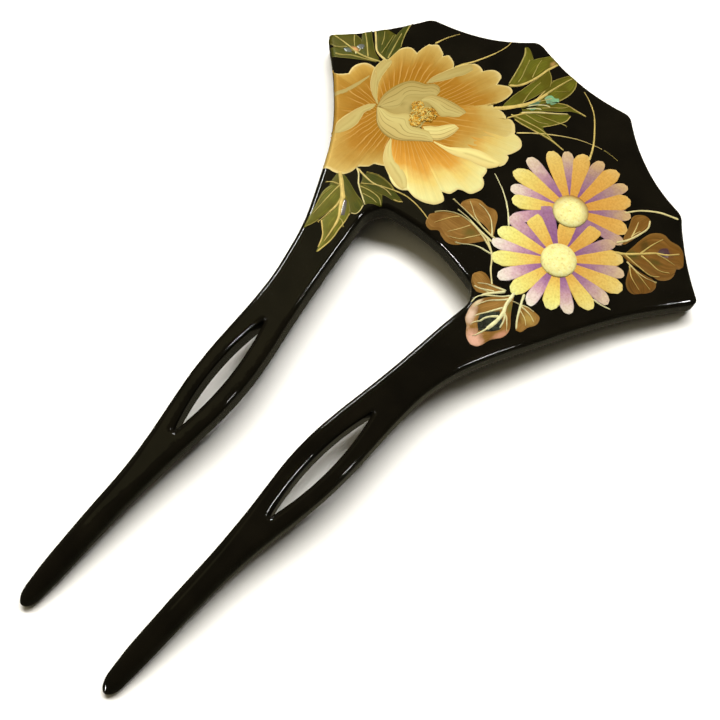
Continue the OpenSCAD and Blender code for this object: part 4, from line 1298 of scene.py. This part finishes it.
BROWN_LEAVES = {
    "right_a": (0, 0.35,
        [(26, 47), (25.3, 48.4), (24.9, 50.3), (24.1, 52.5), (24.4, 53.6), (25.4, 54.5), (26.4, 54.7)],
        [(26.4, 47.4), (26.9, 49.4), (27.5, 51.6), (27.6, 53.2), (27.1, 54.4), (26.4, 54.7)]),
    "right_b": (0, 0.28,
        [(27.2, 45.2), (29.2, 45.1), (31.2, 45.4), (33.3, 45.7), (35.1, 46), (36.3, 47.2), (36.6, 48.6),
         (36.1, 49.8), (36.6, 50.4), (36.8, 51.2)],
        [(27.4, 45.6), (27.7, 48.1), (27.9, 49.9), (28.4, 52.1), (29.4, 53.4), (30.6, 54), (32.1, 53.8),
         (33.8, 54.1), (35.1, 53.6), (36.2, 52.3), (36.8, 51.3)]),
    "right_c": (1, 0.10,
        [(28.4, 44.9), (29.4, 44.6), (30, 43.4), (30.6, 42), (31.2, 41.1), (32.2, 40.5), (33.3, 40.6),
         (34.4, 41.8)],
        [(28.6, 45.1), (31, 44.8), (33, 45.1), (34.4, 45.3), (35.4, 44.7), (35.5, 43.4), (35, 42.4),
         (34.5, 41.8)]),
    "low_a": (0, 0.75,
        [(7.9, 31.9), (6.8, 34), (5.9, 35.7), (4.7, 36.5), (3.3, 36.1), (1.4, 36.2), (0.1, 35.4),
         (-0.8, 33.8), (-0.6, 32.9)],
        [(7.6, 31.7), (6, 32.6), (4, 32.8), (2, 32.7), (0.6, 32.7), (-0.5, 32.8)]),
    "low_b": (1, 0.55,
        [(7.7, 31.2), (5.4, 31.5), (2.9, 31.6), (0.3, 31.2), (-2.3, 29.7), (-3.6, 27.9)],
        [(7.6, 30.8), (7, 30.1), (5.6, 28.3), (3.8, 26.3), (2.3, 25.6), (0.8, 25.9), (-0.3, 26.4),
         (-1.6, 25.5), (-3, 26), (-3.6, 27.6)]),
    "neck_g": (0, 0.7,
        [(16.1, 25.6), (14.8, 25.3), (13.4, 24.9), (12.6, 25.2), (11.9, 25.5), (11.1, 25.6), (10.3, 25.3),
         (9.7, 24.3)],
        [(15.9, 25), (14.6, 23.4), (13, 22.2), (12.2, 21.9), (11.2, 22.2), (10.3, 22.8), (9.7, 23.8)]),
    "neck_h": (1, 0.8,
        [(17.4, 25.4), (15.8, 23.9), (14.3, 22.2), (13.4, 20.6), (13.2, 19.2), (13.5, 17.9), (14, 16.6),
         (15, 15.8), (15.6, 14.9), (16.5, 14), (17.6, 13.6)],
        [(17.6, 25.4), (17.6, 23.4), (17.5, 21.7), (16.4, 20.4), (15.5, 19.2), (15.7, 18.2), (16.2, 17.3),
         (17, 16.6), (17.4, 15.6), (17.6, 14.4), (17.8, 13.7)]),
    "neck_i": (0, 0.7,
        [(17.5, 25.4), (17.6, 23.4), (17.6, 21.7), (18.9, 20.8), (19.8, 19.4), (19.2, 18.2), (18, 17.1),
         (17.2, 16.6), (17.4, 15.4), (17.5, 14.4), (17.6, 13.7)],
        [(17.9, 25.4), (18.8, 23.8), (19.7, 22.3), (20.7, 21), (21.2, 19.9), (21.1, 18.4), (20.4, 17.4),
         (19.7, 16.4), (19.3, 15), (18.7, 14), (17.8, 13.6)]),
    "neck_j": (0, 0.75,
        [(19.8, 25.2), (20.2, 23.9), (20.8, 22.6), (21.3, 21.6), (22, 20.9)],
        [(20, 25.4), (20.9, 25.8), (22.5, 25.8), (23.6, 25.6), (24, 24.7), (23.9, 23.8), (23.2, 22.6),
         (22.9, 21.3), (22.1, 20.9)]),
}
SHELL_CHIPS = {
    "teal": (3, 0.95,
        [(-3.4, 61.4), (-3.3, 62.5), (-2.6, 63.1), (-2, 62.9), (-1.3, 63.5)],
        [(-2.8, 61.2), (-2.2, 61.8), (-1.7, 62), (-1.2, 62.5), (-0.8, 62.8)]),
    "teal_mid": (3, 0.6,
        [(-2.8, 61.2), (-2.4, 61.9), (-1.7, 61.9), (-1.1, 62.4)],
        [(-2.2, 60.9), (-1.9, 61.3), (-1.4, 61.2), (-1, 62.2)]),
    "teal_low": (3, 0.4,
        [(-4.8, 58.3), (-4.6, 59.2), (-4, 60), (-3.7, 60.9)],
        [(-4.2, 58), (-3.9, 58.9), (-3.4, 59.5), (-3.4, 60.6)]),
    "teal_end": (3, 0.7,
        [(-4.2, 57.9), (-3.7, 58.2), (-3.3, 58.8)],
        [(-3.8, 57.5), (-3.3, 57.8), (-3, 58.5)]),
    "blue": (3, 0.15,
        [(-37.7, 46.5), (-37.6, 47.4), (-36.9, 47.9)],
        [(-36.7, 46.4), (-36.4, 47), (-36.5, 47.7)]),
    "blue_low": (3, 0.2,
        [(-39.4, 44.6), (-38.8, 45.3), (-37.9, 45.3)],
        [(-38.9, 44.4), (-38.1, 44.4), (-37.5, 45)]),
    "lens": (3, 0.1,
        [(-17.2, 20), (-16.5, 18.6), (-15.4, 16.8)],
        [(-16.7, 20.1), (-15.7, 18.8), (-14.9, 17.4)]),
    "violet": (2, 0.05,
        [(31.6, 50.2), (31.7, 51.4), (32.6, 52.3)],
        [(32.6, 49.9), (33.6, 50.6), (33.8, 51.5)]),
    "slate": (-1, 0.0,
        [(17.5, 21.9), (16.2, 20.4), (15.3, 19.2), (15.5, 18), (16.2, 17.1), (17, 16.5)],
        [(17.6, 21.9), (19.1, 20.9), (20, 19.4), (19.4, 18.1), (18.2, 17), (17.1, 16.5)]),
}
print("leaves:", len(GREEN_LEAVES), "green and", len(BROWN_LEAVES), "brown; chips:", len(SHELL_CHIPS))

# %% Leaves
LEAF_STEP = 0.3
LEAF_ROWS = 16


def leaf_relief(u, v):
    """A leaf swells a little between its edges."""
    return 0.05 * MM * np.sin(np.pi * v)**0.7 * np.sin(np.pi * np.clip(u, 0, 1))**0.4


def leaves_of(name, table):
    """Lays every leaf of a table and joins them into one piece."""
    laid = []
    for part, (level, tone, near, far) in table.items():
        grid = between(near, far, max(14, int(curve_length(far) / LEAF_STEP)), LEAF_ROWS)
        laid.append(laid_grid(part, grid, FIRST_LIFT + level * LEVEL_H, leaf_relief, tone))
    return joined(name, laid, FIRST_LIFT + 3 * LEVEL_H)


green_leaves = leaves_of("green_leaves_laid", GREEN_LEAVES)
brown_leaves = leaves_of("brown_leaves_laid", BROWN_LEAVES)
shell_chips = leaves_of("shell_chips_laid", SHELL_CHIPS)

# %% Tables of brush lines, in millimetres
# Each line: tone from olive to cream, width at its start and at its end, the points it passes
GREEN_LINES = [
    (0.55, 0.5, 0.42, (-10.1, 59.2), (-9.6, 59.6), (-8.8, 60.4), (-8, 62), (-7.4, 64), (-7.1, 65.6),
     (-6.9, 67.2), (-6.6, 68.2), (-6.2, 69.6)),
    (0.35, 0.24, 0.30, (-10.4, 59.6), (-10.9, 62), (-11.6, 64.8), (-12.4, 67.1), (-13.3, 68.4)),
    (0.3, 0.2, 0.12, (-9.3, 61), (-9.6, 62.6), (-10.2, 64.4), (-10.9, 66.7)),
    (0.35, 0.2, 0.12, (-8, 63.7), (-8.5, 65.4), (-9, 67), (-9.2, 68.4)),
    (0.3, 0.24, 0.12, (-5.7, 57.8), (-6.1, 60), (-6.2, 62), (-6.1, 64)),
    (0.15, 0.14, 0.10, (-8.1, 55.4), (-8, 58), (-7.4, 61.6), (-7, 65)),
    (0.2, 0.12, 0.12, (-6.7, 67.3), (-5.7, 66.6), (-4.9, 65.7), (-4.2, 64.4)),
    (0.6, 0.85, 0.55, (-9, 53.1), (-7.4, 54.8), (-5.6, 57.2), (-4.5, 59.2), (-4, 60.8), (-3.6, 62.9)),
    (0.45, 0.45, 0.25, (-3.8, 62.3), (-3.2, 65), (-2.8, 66.8), (-2.2, 69)),
    (0.6, 0.3, 0.2, (-4.2, 60), (-4.3, 61.6), (-4.3, 63)),
    (0.3, 0.2, 0.2, (-0.9, 63), (-0.45, 64.6), (-0.3, 66.2), (-0.6, 67.8), (-1.2, 68.9)),
    (0.2, 0.14, 0.14, (-4.6, 65.8), (-3.9, 67.4), (-3, 69)),
    (0.2, 0.16, 0.10, (-2.9, 64), (-1.9, 65), (-0.8, 66.2)),
    (0.5, 0.15, 0.2, (-3.8, 60), (-3.1, 61.2), (-2.2, 62.6)),
    (0.8, 0.2, 0.34, (-4.6, 57.9), (-3.4, 59.4), (-2.2, 60.4), (-1.3, 60.7)),
    (0.8, 0.2, 0.34, (-4.4, 57.3), (-3.4, 58.3), (-2.7, 58.9), (-2.2, 59.1)),
    (0.5, 0.16, 0.12, (-2.4, 59.4), (-0.8, 61), (0.6, 62.3), (1.2, 63.4)),
    (0.55, 0.14, 0.32, (-0.8, 62.4), (0.8, 63.3), (2.6, 63.5), (4.9, 63.8)),
    (0.7, 0.45, 0.3, (-4.6, 55.9), (-3.6, 56.9), (-2, 58.4), (0, 60), (2.1, 61.8)),
    (0.45, 0.22, 0.22, (2.7, 61.8), (2.8, 60.4), (2.2, 59), (1.3, 57.5), (0.3, 56.2)),
    (0.4, 0.12, 0.2, (-2.4, 57.5), (0.8, 58.6), (2.4, 59.2), (3.6, 59.5)),
    (0.4, 0.2, 0.12, (-3.8, 56.2), (-1, 56.5), (0.8, 57.5)),
    (0.45, 0.3, 0.2, (-5.8, 54.3), (-3, 54.9), (0.4, 55.5), (3.2, 55.3)),
    (0.5, 0.25, 0.3, (-4.6, 53.9), (-3, 54), (0, 54.5), (3, 55), (6.3, 54.9)),
    (0.6, 0.3, 0.35, (-5.8, 53.1), (-5.2, 54.3), (-4.5, 55.5), (-3.8, 56.6)),
    (0.65, 0.45, 0.35, (-31, 47.8), (-33, 48), (-34.2, 48.5), (-35.4, 49.7), (-36.4, 50.8),
     (-37.5, 51.9)),
    (0.3, 0.34, 0.18, (-31.3, 48.4), (-32.2, 51.4), (-33.2, 54.8)),
    (0.25, 0.2, 0.14, (-33, 48.5), (-33.5, 51), (-34.1, 53.4)),
    (0.25, 0.2, 0.16, (-34.2, 50), (-35, 51.6), (-36, 53)),
    (0.3, 0.16, 0.3, (-31.2, 52.2), (-31.8, 53.3), (-32.6, 55.3), (-33.3, 57.6)),
    (0.35, 0.34, 0.24, (-34.4, 46.2), (-37, 48.8), (-38.9, 50.5)),
    (0.3, 0.22, 0.2, (-38, 46.4), (-39, 47.4), (-39.9, 48.5)),
    (0.4, 0.4, 0.26, (-31.8, 46.9), (-34, 46.1), (-36.4, 45.6), (-40, 45.8), (-43.2, 45.8)),
    (0.3, 0.22, 0.2, (-39, 45.4), (-40, 44.5), (-41.1, 43.7)),
    (0.25, 0.3, 0.34, (-32.4, 46.4), (-34.8, 45.3), (-37, 44.4), (-38.6, 43.2), (-39.8, 42.7)),
    (0.8, 0.3, 0.3, (-36.6, 45.2), (-37.1, 45.7)),
    (0.8, 0.25, 0.2, (-36.6, 46.1), (-36.7, 46.7)),
    (0.75, 0.34, 0.26, (-19.8, 26.35), (-18.7, 25.6), (-18, 24.8), (-17.4, 24.1), (-16.4, 23.3),
     (-15.3, 22.6), (-13.6, 21.5)),
    (0.6, 0.7, 0.9, (-21.6, 23.7), (-20, 22.3), (-18.5, 20.9), (-17.3, 19.7)),
    (0.6, 0.85, 0.16, (-17.8, 20.2), (-16.7, 18.4), (-15.5, 16.5), (-14.9, 14.6), (-14.3, 11.2)),
    (0.55, 0.5, 0.2, (-17.8, 20.2), (-17.4, 18), (-17.5, 15.2), (-17.7, 13.3)),
    (0.4, 0.32, 0.14, (-19.7, 21.9), (-19.7, 19.3), (-19.6, 16.1), (-19.5, 13.8)),
    (0.5, 0.3, 0.22, (-19.8, 21.6), (-21.2, 21.1), (-22.1, 20.3)),
    (0.35, 0.22, 0.18, (-15.5, 16.4), (-14.6, 16.4), (-13.6, 15.6)),
    (0.6, 0.3, 0.26, (-17.5, 14.1), (-16.3, 13), (-15.4, 12.1), (-14.7, 10.7), (-14.4, 9.7)),
    (0.55, 0.18, 0.3, (-14.5, 18.4), (-14.1, 16.6), (-13.9, 14.8), (-13.6, 13), (-13.6, 11.4),
     (-13.9, 8.9)),
    (0.2, 0.12, 0.2, (-18, 13.8), (-18.3, 12.4), (-18.8, 11.2)),
    (0.15, 0.12, 0.12, (-20.4, 20.4), (-20.7, 18), (-20.2, 15.6)),
    (0.7, 0.2, 0.22, (-13.8, 21.3), (-13.5, 20.2), (-13.6, 19.1), (-14.4, 18.6)),
    (0.65, 0.4, 0.16, (-19.4, 26.3), (-18, 26), (-15.6, 25.8), (-13, 26.3), (-11.2, 26.1)),
    (0.5, 0.2, 0.24, (-17.1, 24.3), (-14.5, 26), (-12, 27), (-10, 27.6)),
    (0.15, 0.12, 0.12, (-17.8, 26.8), (-15.7, 27.7), (-13, 27.7), (-11.4, 27.2)),
    (0.6, 0.2, 0.24, (-10.4, 25.7), (-9.4, 26), (-8.8, 26.5)),
    (0.4, 0.26, 0.16, (-16.8, 23.8), (-14.6, 24.3), (-12.6, 24.2), (-11.3, 23.3)),
    (0.4, 0.2, 0.14, (-15.5, 23), (-13.6, 23.3), (-12.2, 23.2)),
]
BROWN_LINES = [
    (0.6, 0.5, 0.3, (26, 44.8), (27.4, 45.7), (29.6, 47.8), (31.4, 49.7), (33.3, 51), (34.9, 52.8)),
    (0.5, 0.34, 0.15, (29.5, 47.8), (30, 50.3), (30.9, 53.1)),
    (0.5, 0.24, 0.12, (31.6, 49.8), (33.6, 50.2), (35.5, 50.4)),
    (0.55, 0.34, 0.15, (29.8, 47.6), (31.6, 47.6), (34, 47.5), (35.8, 48.5)),
    (0.6, 0.3, 0.15, (27.3, 45.7), (31, 45.5), (33.4, 45.6), (34.8, 46.6)),
    (0.7, 0.3, 0.12, (28.6, 44.8), (31, 44.5), (33, 44.6), (35.1, 45.3)),
    (0.6, 0.26, 0.10, (29.4, 44.6), (31, 43), (33.6, 41.9)),
    (0.5, 0.22, 0.10, (30.3, 44.5), (32.5, 44), (35.1, 43.3)),
    (0.75, 0.3, 0.4, (26.9, 54.4), (27.5, 53), (27.3, 51.4), (26.3, 48.5), (25, 46.5)),
    (0.65, 0.3, 0.15, (26.4, 49.2), (26, 51), (25.5, 52.7)),
    (0.65, 0.2, 0.15, (26.3, 49.4), (26.5, 50.4), (26.9, 51.4)),
    (0.8, 0.3, 0.12, (7.7, 31.8), (6.6, 33.2), (5.1, 34.6), (3.4, 35.3), (1.7, 35.5)),
    (0.7, 0.3, 0.14, (7.7, 31.9), (5.4, 32.2), (2.9, 33), (1.4, 34), (0.1, 34.8)),
    (0.75, 0.36, 0.15, (8.4, 32), (6.4, 32.1), (1.4, 32.7), (-2.4, 33.1)),
    (0.8, 0.44, 0.15, (8.2, 31.1), (5.1, 31.4), (2.2, 31.9), (-0.4, 32)),
    (0.75, 0.36, 0.14, (9.4, 29.6), (6.5, 30.8), (3.6, 31.5), (0.6, 31.4), (-1.9, 30.2), (-3.2, 28.8)),
    (0.6, 0.22, 0.12, (0.8, 31.2), (-0.4, 29.8), (-1.9, 27.1)),
    (0.65, 0.22, 0.12, (3.3, 31.1), (2.4, 29.4), (1, 27.2)),
    (0.65, 0.22, 0.12, (5.9, 30.9), (4.6, 29), (3.6, 27.7), (1.6, 26.6)),
    (0.9, 0.4, 0.12, (9.8, 29.2), (8.6, 29), (7, 28.7), (5.5, 27.9), (4.4, 27.1), (3.3, 26.6)),
    (0.9, 0.60, 0.70, (17.4, 26.2), (17.6, 24.6), (17.8, 23.2), (18.3, 21.9), (18.4, 20.2), (18.2, 18.6),
     (18, 17.6)),
    (0.9, 0.42, 0.14, (18.1, 18), (17.8, 17), (17.4, 15.8), (16.9, 14.9)),
    (0.85, 0.36, 0.28, (18.2, 22.2), (19, 21.4), (19.4, 20.4), (19.6, 19.3)),
    (0.85, 0.16, 0.16, (18.3, 22.3), (19.4, 21.4), (20.5, 20.2)),
    (0.9, 0.50, 0.30, (18.2, 20.9), (17.2, 20), (16.5, 19), (16.2, 17.8)),
    (0.85, 0.30, 0.12, (16.2, 18), (15.6, 17.2), (15.3, 16.4)),
    (0.9, 0.40, 0.20, (17.7, 22.7), (16.8, 21.2), (16, 19.9), (15.3, 18.9), (14.9, 18)),
    (0.9, 0.40, 0.14, (17.5, 24.6), (16.2, 23.2), (15, 22), (14.2, 20.6), (13.8, 19.4)),
    (0.95, 0.3, 0.24, (17.2, 25.3), (16.4, 24.3), (15, 23.2), (13.6, 22.1), (12.9, 21), (12.8, 19.7)),
    (0.95, 0.40, 0.16, (16.1, 25.5), (14.4, 24.8), (12.8, 24.2), (11.3, 23.2)),
    (0.95, 0.50, 0.40, (16.1, 25.3), (15, 24), (13.8, 22.6), (13.3, 21.6)),
    (0.95, 0.30, 0.20, (14.6, 24), (13.2, 23.2), (12, 22.6), (11.2, 22.5)),
    (0.8, 0.22, 0.12, (14.2, 23.2), (13.2, 23), (12.1, 22.6), (11.2, 22.5)),
    (0.95, 0.5, 0.3, (18.9, 27.2), (19.4, 25.8), (20.2, 24), (21, 22.4), (21.9, 21.1)),
    (0.8, 0.26, 0.12, (19.7, 25.2), (20.8, 25.6), (22.2, 25.7)),
    (0.8, 0.3, 0.14, (19.9, 25), (22, 24.8), (23.4, 24.2)),
    (0.75, 0.24, 0.10, (20.2, 24.3), (21.8, 23.6), (22.8, 22.7)),
    (0.8, 0.14, 0.14, (17.8, 24.6), (19, 25), (20.2, 25.2)),
    (0.75, 0.22, 0.12, (18.2, 22.3), (19.5, 21.5), (20.9, 19.6)),
]
GRASS_LINES = [
    (0.55, 0.16, 0.40, (1.3, 68.1), (3.4, 67), (5.8, 65.2), (8, 62.4), (9.8, 59.6), (11.1, 56.6)),
    (0.65, 0.30, 0.14, (-2.5, 51.8), (0.4, 54.4), (4, 57), (7.4, 58.9), (11.4, 60.2)),
    (0.30, 0.10, 0.10, (11.8, 60.25), (13.4, 60.35), (15, 60.3)),
    (0.60, 0.40, 0.16, (-20.4, 55.4), (-19.7, 56.9), (-18.4, 59.2), (-17.2, 62), (-16.4, 64.4),
     (-16.05, 66.4), (-16.2, 67.9)),
    (0.60, 0.34, 0.12, (-26.8, 57.2), (-26.1, 59.4), (-25.3, 61.1), (-24.7, 62.2)),
    (0.75, 0.30, 0.40, (22.5, 52.4), (24.4, 54.8), (27.2, 57), (30.6, 58.4)),
    (0.85, 0.16, 0.36, (-0.1, 42.3), (3.4, 40.4), (6.2, 38.2), (8.6, 35.6)),
    (0.75, 0.34, 0.30, (7.2, 31.1), (9.8, 29.2), (11.5, 26.8), (13.5, 24.7)),
    (0.50, 0.26, 0.20, (-12.2, 27), (-9.8, 27.7), (-7.4, 27.8), (-5, 27.4), (-3.2, 26.9)),
    (0.85, 0.34, 0.20, (28.4, 34.8), (30.2, 34.9), (32, 35.4)),
]
print("brush lines:", len(GREEN_LINES), "green,", len(BROWN_LINES), "brown,", len(GRASS_LINES), "of grass")

# %% Brush lines
LINE_STEP = 0.22


def brush_line(name, start_wide, end_wide, points, lift, tone):
    """Lays a raised line of lacquer along a smooth path, with rounded ends and a slightly uneven width."""
    length = curve_length(points)
    path = smooth_path(points, max(8, int(length / LINE_STEP)))
    ahead = np.gradient(path, axis=0)
    ahead /= np.linalg.norm(ahead, axis=1)[:, None]
    aside = np.stack([-ahead[:, 1], ahead[:, 0]], 1)
    t = np.linspace(0, 1, len(path))
    wide = start_wide + (end_wide - start_wide) * t
    near_end = np.minimum(t, 1 - t) * length / (0.5 * wide)
    half = 0.5 * wide * np.sqrt(np.clip(1 - (1 - np.clip(near_end, 0, 1))**2, 0.06, 1))
    half *= 1 + 0.06 * np.sin(t * length * 2.1 + start_wide * 40)
    grid = path[:, None] + aside[:, None] * half[:, None, None] * np.linspace(-1, 1, 5)[None, :, None]
    crown = 0.10 * MM * min(1.0, max(start_wide, end_wide) / 0.5)
    return laid_grid(name, grid, lift, lambda u, v: crown * np.sin(np.pi * u), tone)


def brush_lines(name, table, level):
    """Lays every line of a table and joins them into one piece."""
    laid = [brush_line(f"{name}_{i}", start_wide, end_wide, points, FIRST_LIFT + level * LEVEL_H, tone)
            for i, (tone, start_wide, end_wide, *points) in enumerate(table)]
    return joined(name, laid, FIRST_LIFT + (level + 1) * LEVEL_H)


green_lines = brush_lines("green_leaf_lines", GREEN_LINES, 5)
brown_lines = brush_lines("brown_leaf_lines", BROWN_LINES, 5)
grass_lines = brush_lines("grass_lines", GRASS_LINES, 2)

# %% [markdown]
# Leaf colour is brushed on in streaks from base to tip, over a darker ground. The lacquerer dabs a
# second colour on some leaves while they are wet: peach, violet, blue. Here a dab is a soft round
# spot at its own place. The shell is real: it shifts between green and blue from chip to chip.

# %% Leaf, shell and line finishes
# Dark colour, pale colour, second colour and edge colour of a leaf
GREEN = ([(0.25, 0x263002), (0.5, 0x3E4406), (0.75, 0x5C5C10)],
         [(0.25, 0x606418), (0.5, 0x7A7822), (0.75, 0x968E2C)], 0x5C540E, 0xA89C54)
BROWN = ([(0.25, 0x402802), (0.5, 0x684208), (0.75, 0x80520E)],
         [(0.25, 0x906420), (0.5, 0xB08440), (0.75, 0xC89854)], 0x7C5218, 0x8A6A34)
# Soft spots: place, length and width in millimetres, direction, colour, strength
GREEN_DABS = [(-7.0, 69.0, 0.9, 1.3, 0, 0xC29B5C, 0.8), (-37.5, 45.9, 1.6, 0.9, 10, 0xDFA566, 0.95)]
BROWN_DABS = [
    (28.6, 46.6, 2.4, 1.6, 30, 0x4E5018, 0.85), (32.6, 48.4, 2.2, 1.0, 20, 0x504C18, 0.7),
    (29.2, 49.6, 1.6, 2.2, 20, 0x4C3C0C, 0.75), (33.0, 51.0, 2.6, 1.7, 30, 0x6A4430, 0.8),
    (4.2, 29.8, 2.4, 1.6, 40, 0x6C6226, 0.8), (6.2, 33.4, 1.4, 0.9, -50, 0x6A5E24, 0.7),
    (32.6, 43.4, 2.0, 1.2, 20, 0x5E4A18, 0.6), (17.6, 14.6, 3.6, 2.6, -20, 0xF5BFA4, 1.0),
    (14.3, 17.8, 1.4, 3.4, 20, 0xFBDCC4, 0.9), (13.7, 20.6, 0.8, 2.4, -5, 0xF8E4B8, 0.8),
    (20.6, 18.4, 1.1, 3.0, -20, 0xDCA080, 0.85), (18.6, 23.4, 1.0, 1.8, 20, 0x75702C, 0.9),
    (22.3, 24.0, 2.2, 2.0, 0, 0xBEA050, 0.85), (23.6, 21.6, 0.8, 1.0, 0, 0x4E5A1C, 0.8)]
DAB_DEPTH = 10.0


def dabbed(tree, colour, dabs):
    """Adds soft spots of colour, each a ball that the Mapping node moves, turns and stretches."""
    for x, y, length, width, degrees, tint, strength in dabs:
        local = add_node(tree, "ShaderNodeMapping", {"vector_type": "TEXTURE"}, Vector=object_place(tree),
                         Location=(x * MM, y * MM, 0), Rotation=(0, 0, math.radians(degrees)),
                         Scale=(length * MM, width * MM, DAB_DEPTH)).outputs["Vector"]
        away = add_node(tree, "ShaderNodeVectorMath", {"operation": "LENGTH"}, Vector=local).outputs["Value"]
        blurred = maths(tree, "ADD", away, maths(tree, "MULTIPLY", noise(tree, 1400.0), 0.5))
        colour = mixed(tree, ramp(tree, blurred, (0.45, strength), (1.3, 0.0)), colour, tint)
    return colour


def leaf_colour(name, dark, pale, second, edge, dabs):
    """Streaked leaf colour with clouds of a second colour, an edge colour and dabs."""
    material, tree, surface = shader_nodes(name)
    uv, along, across, tone = petal_place(tree)
    streak = stretched(tree, uv, 1.5, 14.0, 4.0, Distortion=0.3)
    colour = mixed(tree, tone, ramp(tree, streak, *dark), ramp(tree, streak, *pale))
    colour = mixed(tree, ramp(tree, noise(tree, 330.0), (0.45, 0.0), (0.65, 0.75)), colour, second)
    colour = dabbed(tree, colour, dabs)
    line = maths(tree, "MULTIPLY", outline(tree, across, 0.07), 0.5)
    powder(tree, surface, mixed(tree, line, colour, edge), (0.34, 0.55), 0.15)
    return material


green_paint = leaf_colour("green_leaf", *GREEN, GREEN_DABS)
brown_paint = leaf_colour("brown_leaf", *BROWN, BROWN_DABS)
dress(green_leaves, green_paint, "green_leaf", "green_leaves")
dress(brown_leaves, brown_paint, "brown_leaf", "brown_leaves")

# Lines go from olive gold to cream by their tone, and their powder wears thin in places
gold_line, tree, surface = shader_nodes("gold_line")
colour = ramp(tree, carried(tree, "tone"), (0.1, 0xA09040), (0.35, 0xCABA68), (0.6, 0xEED27A),
              (0.85, 0xFFFAC0))
powder(tree, surface, shaded(tree, colour, noise(tree, 1500.0, 3.0), (0.3, 0.8), (0.6, 1.04)))
dress(green_lines, gold_line, "gold_line")
dress(brown_lines, gold_line, "gold_line")
dress(grass_lines, gold_line, "gold_line", "gold_grass")

material, tree, surface = shader_nodes("shell")
tone = carried(tree, "tone")
chip = ramp(tree, tone, (0.0, 0x2A2C22), (0.05, 0x5C3E44), (0.15, 0x747674), (0.35, 0x5E7C60),
            (0.9, 0x8ECE9A))
# Painted glint: lighter green patches, mixed into the shell's colour, stand in for the shimmer of its nacre
# in the light.
play = ramp(tree, noise(tree, 900.0, 3.0, Distortion=0.6), (0.4, 0.0), (0.7, 0.7))
painted_glint = maths(tree, "MULTIPLY", play, maths(tree, "ADD", tone, 0.15))
wire(tree, surface, Base_Color=mixed(tree, painted_glint, chip, 0x9CB08A), Roughness=0.22, Metallic=0.2)
dress(shell_chips, material, "shell", "shell_inlays")
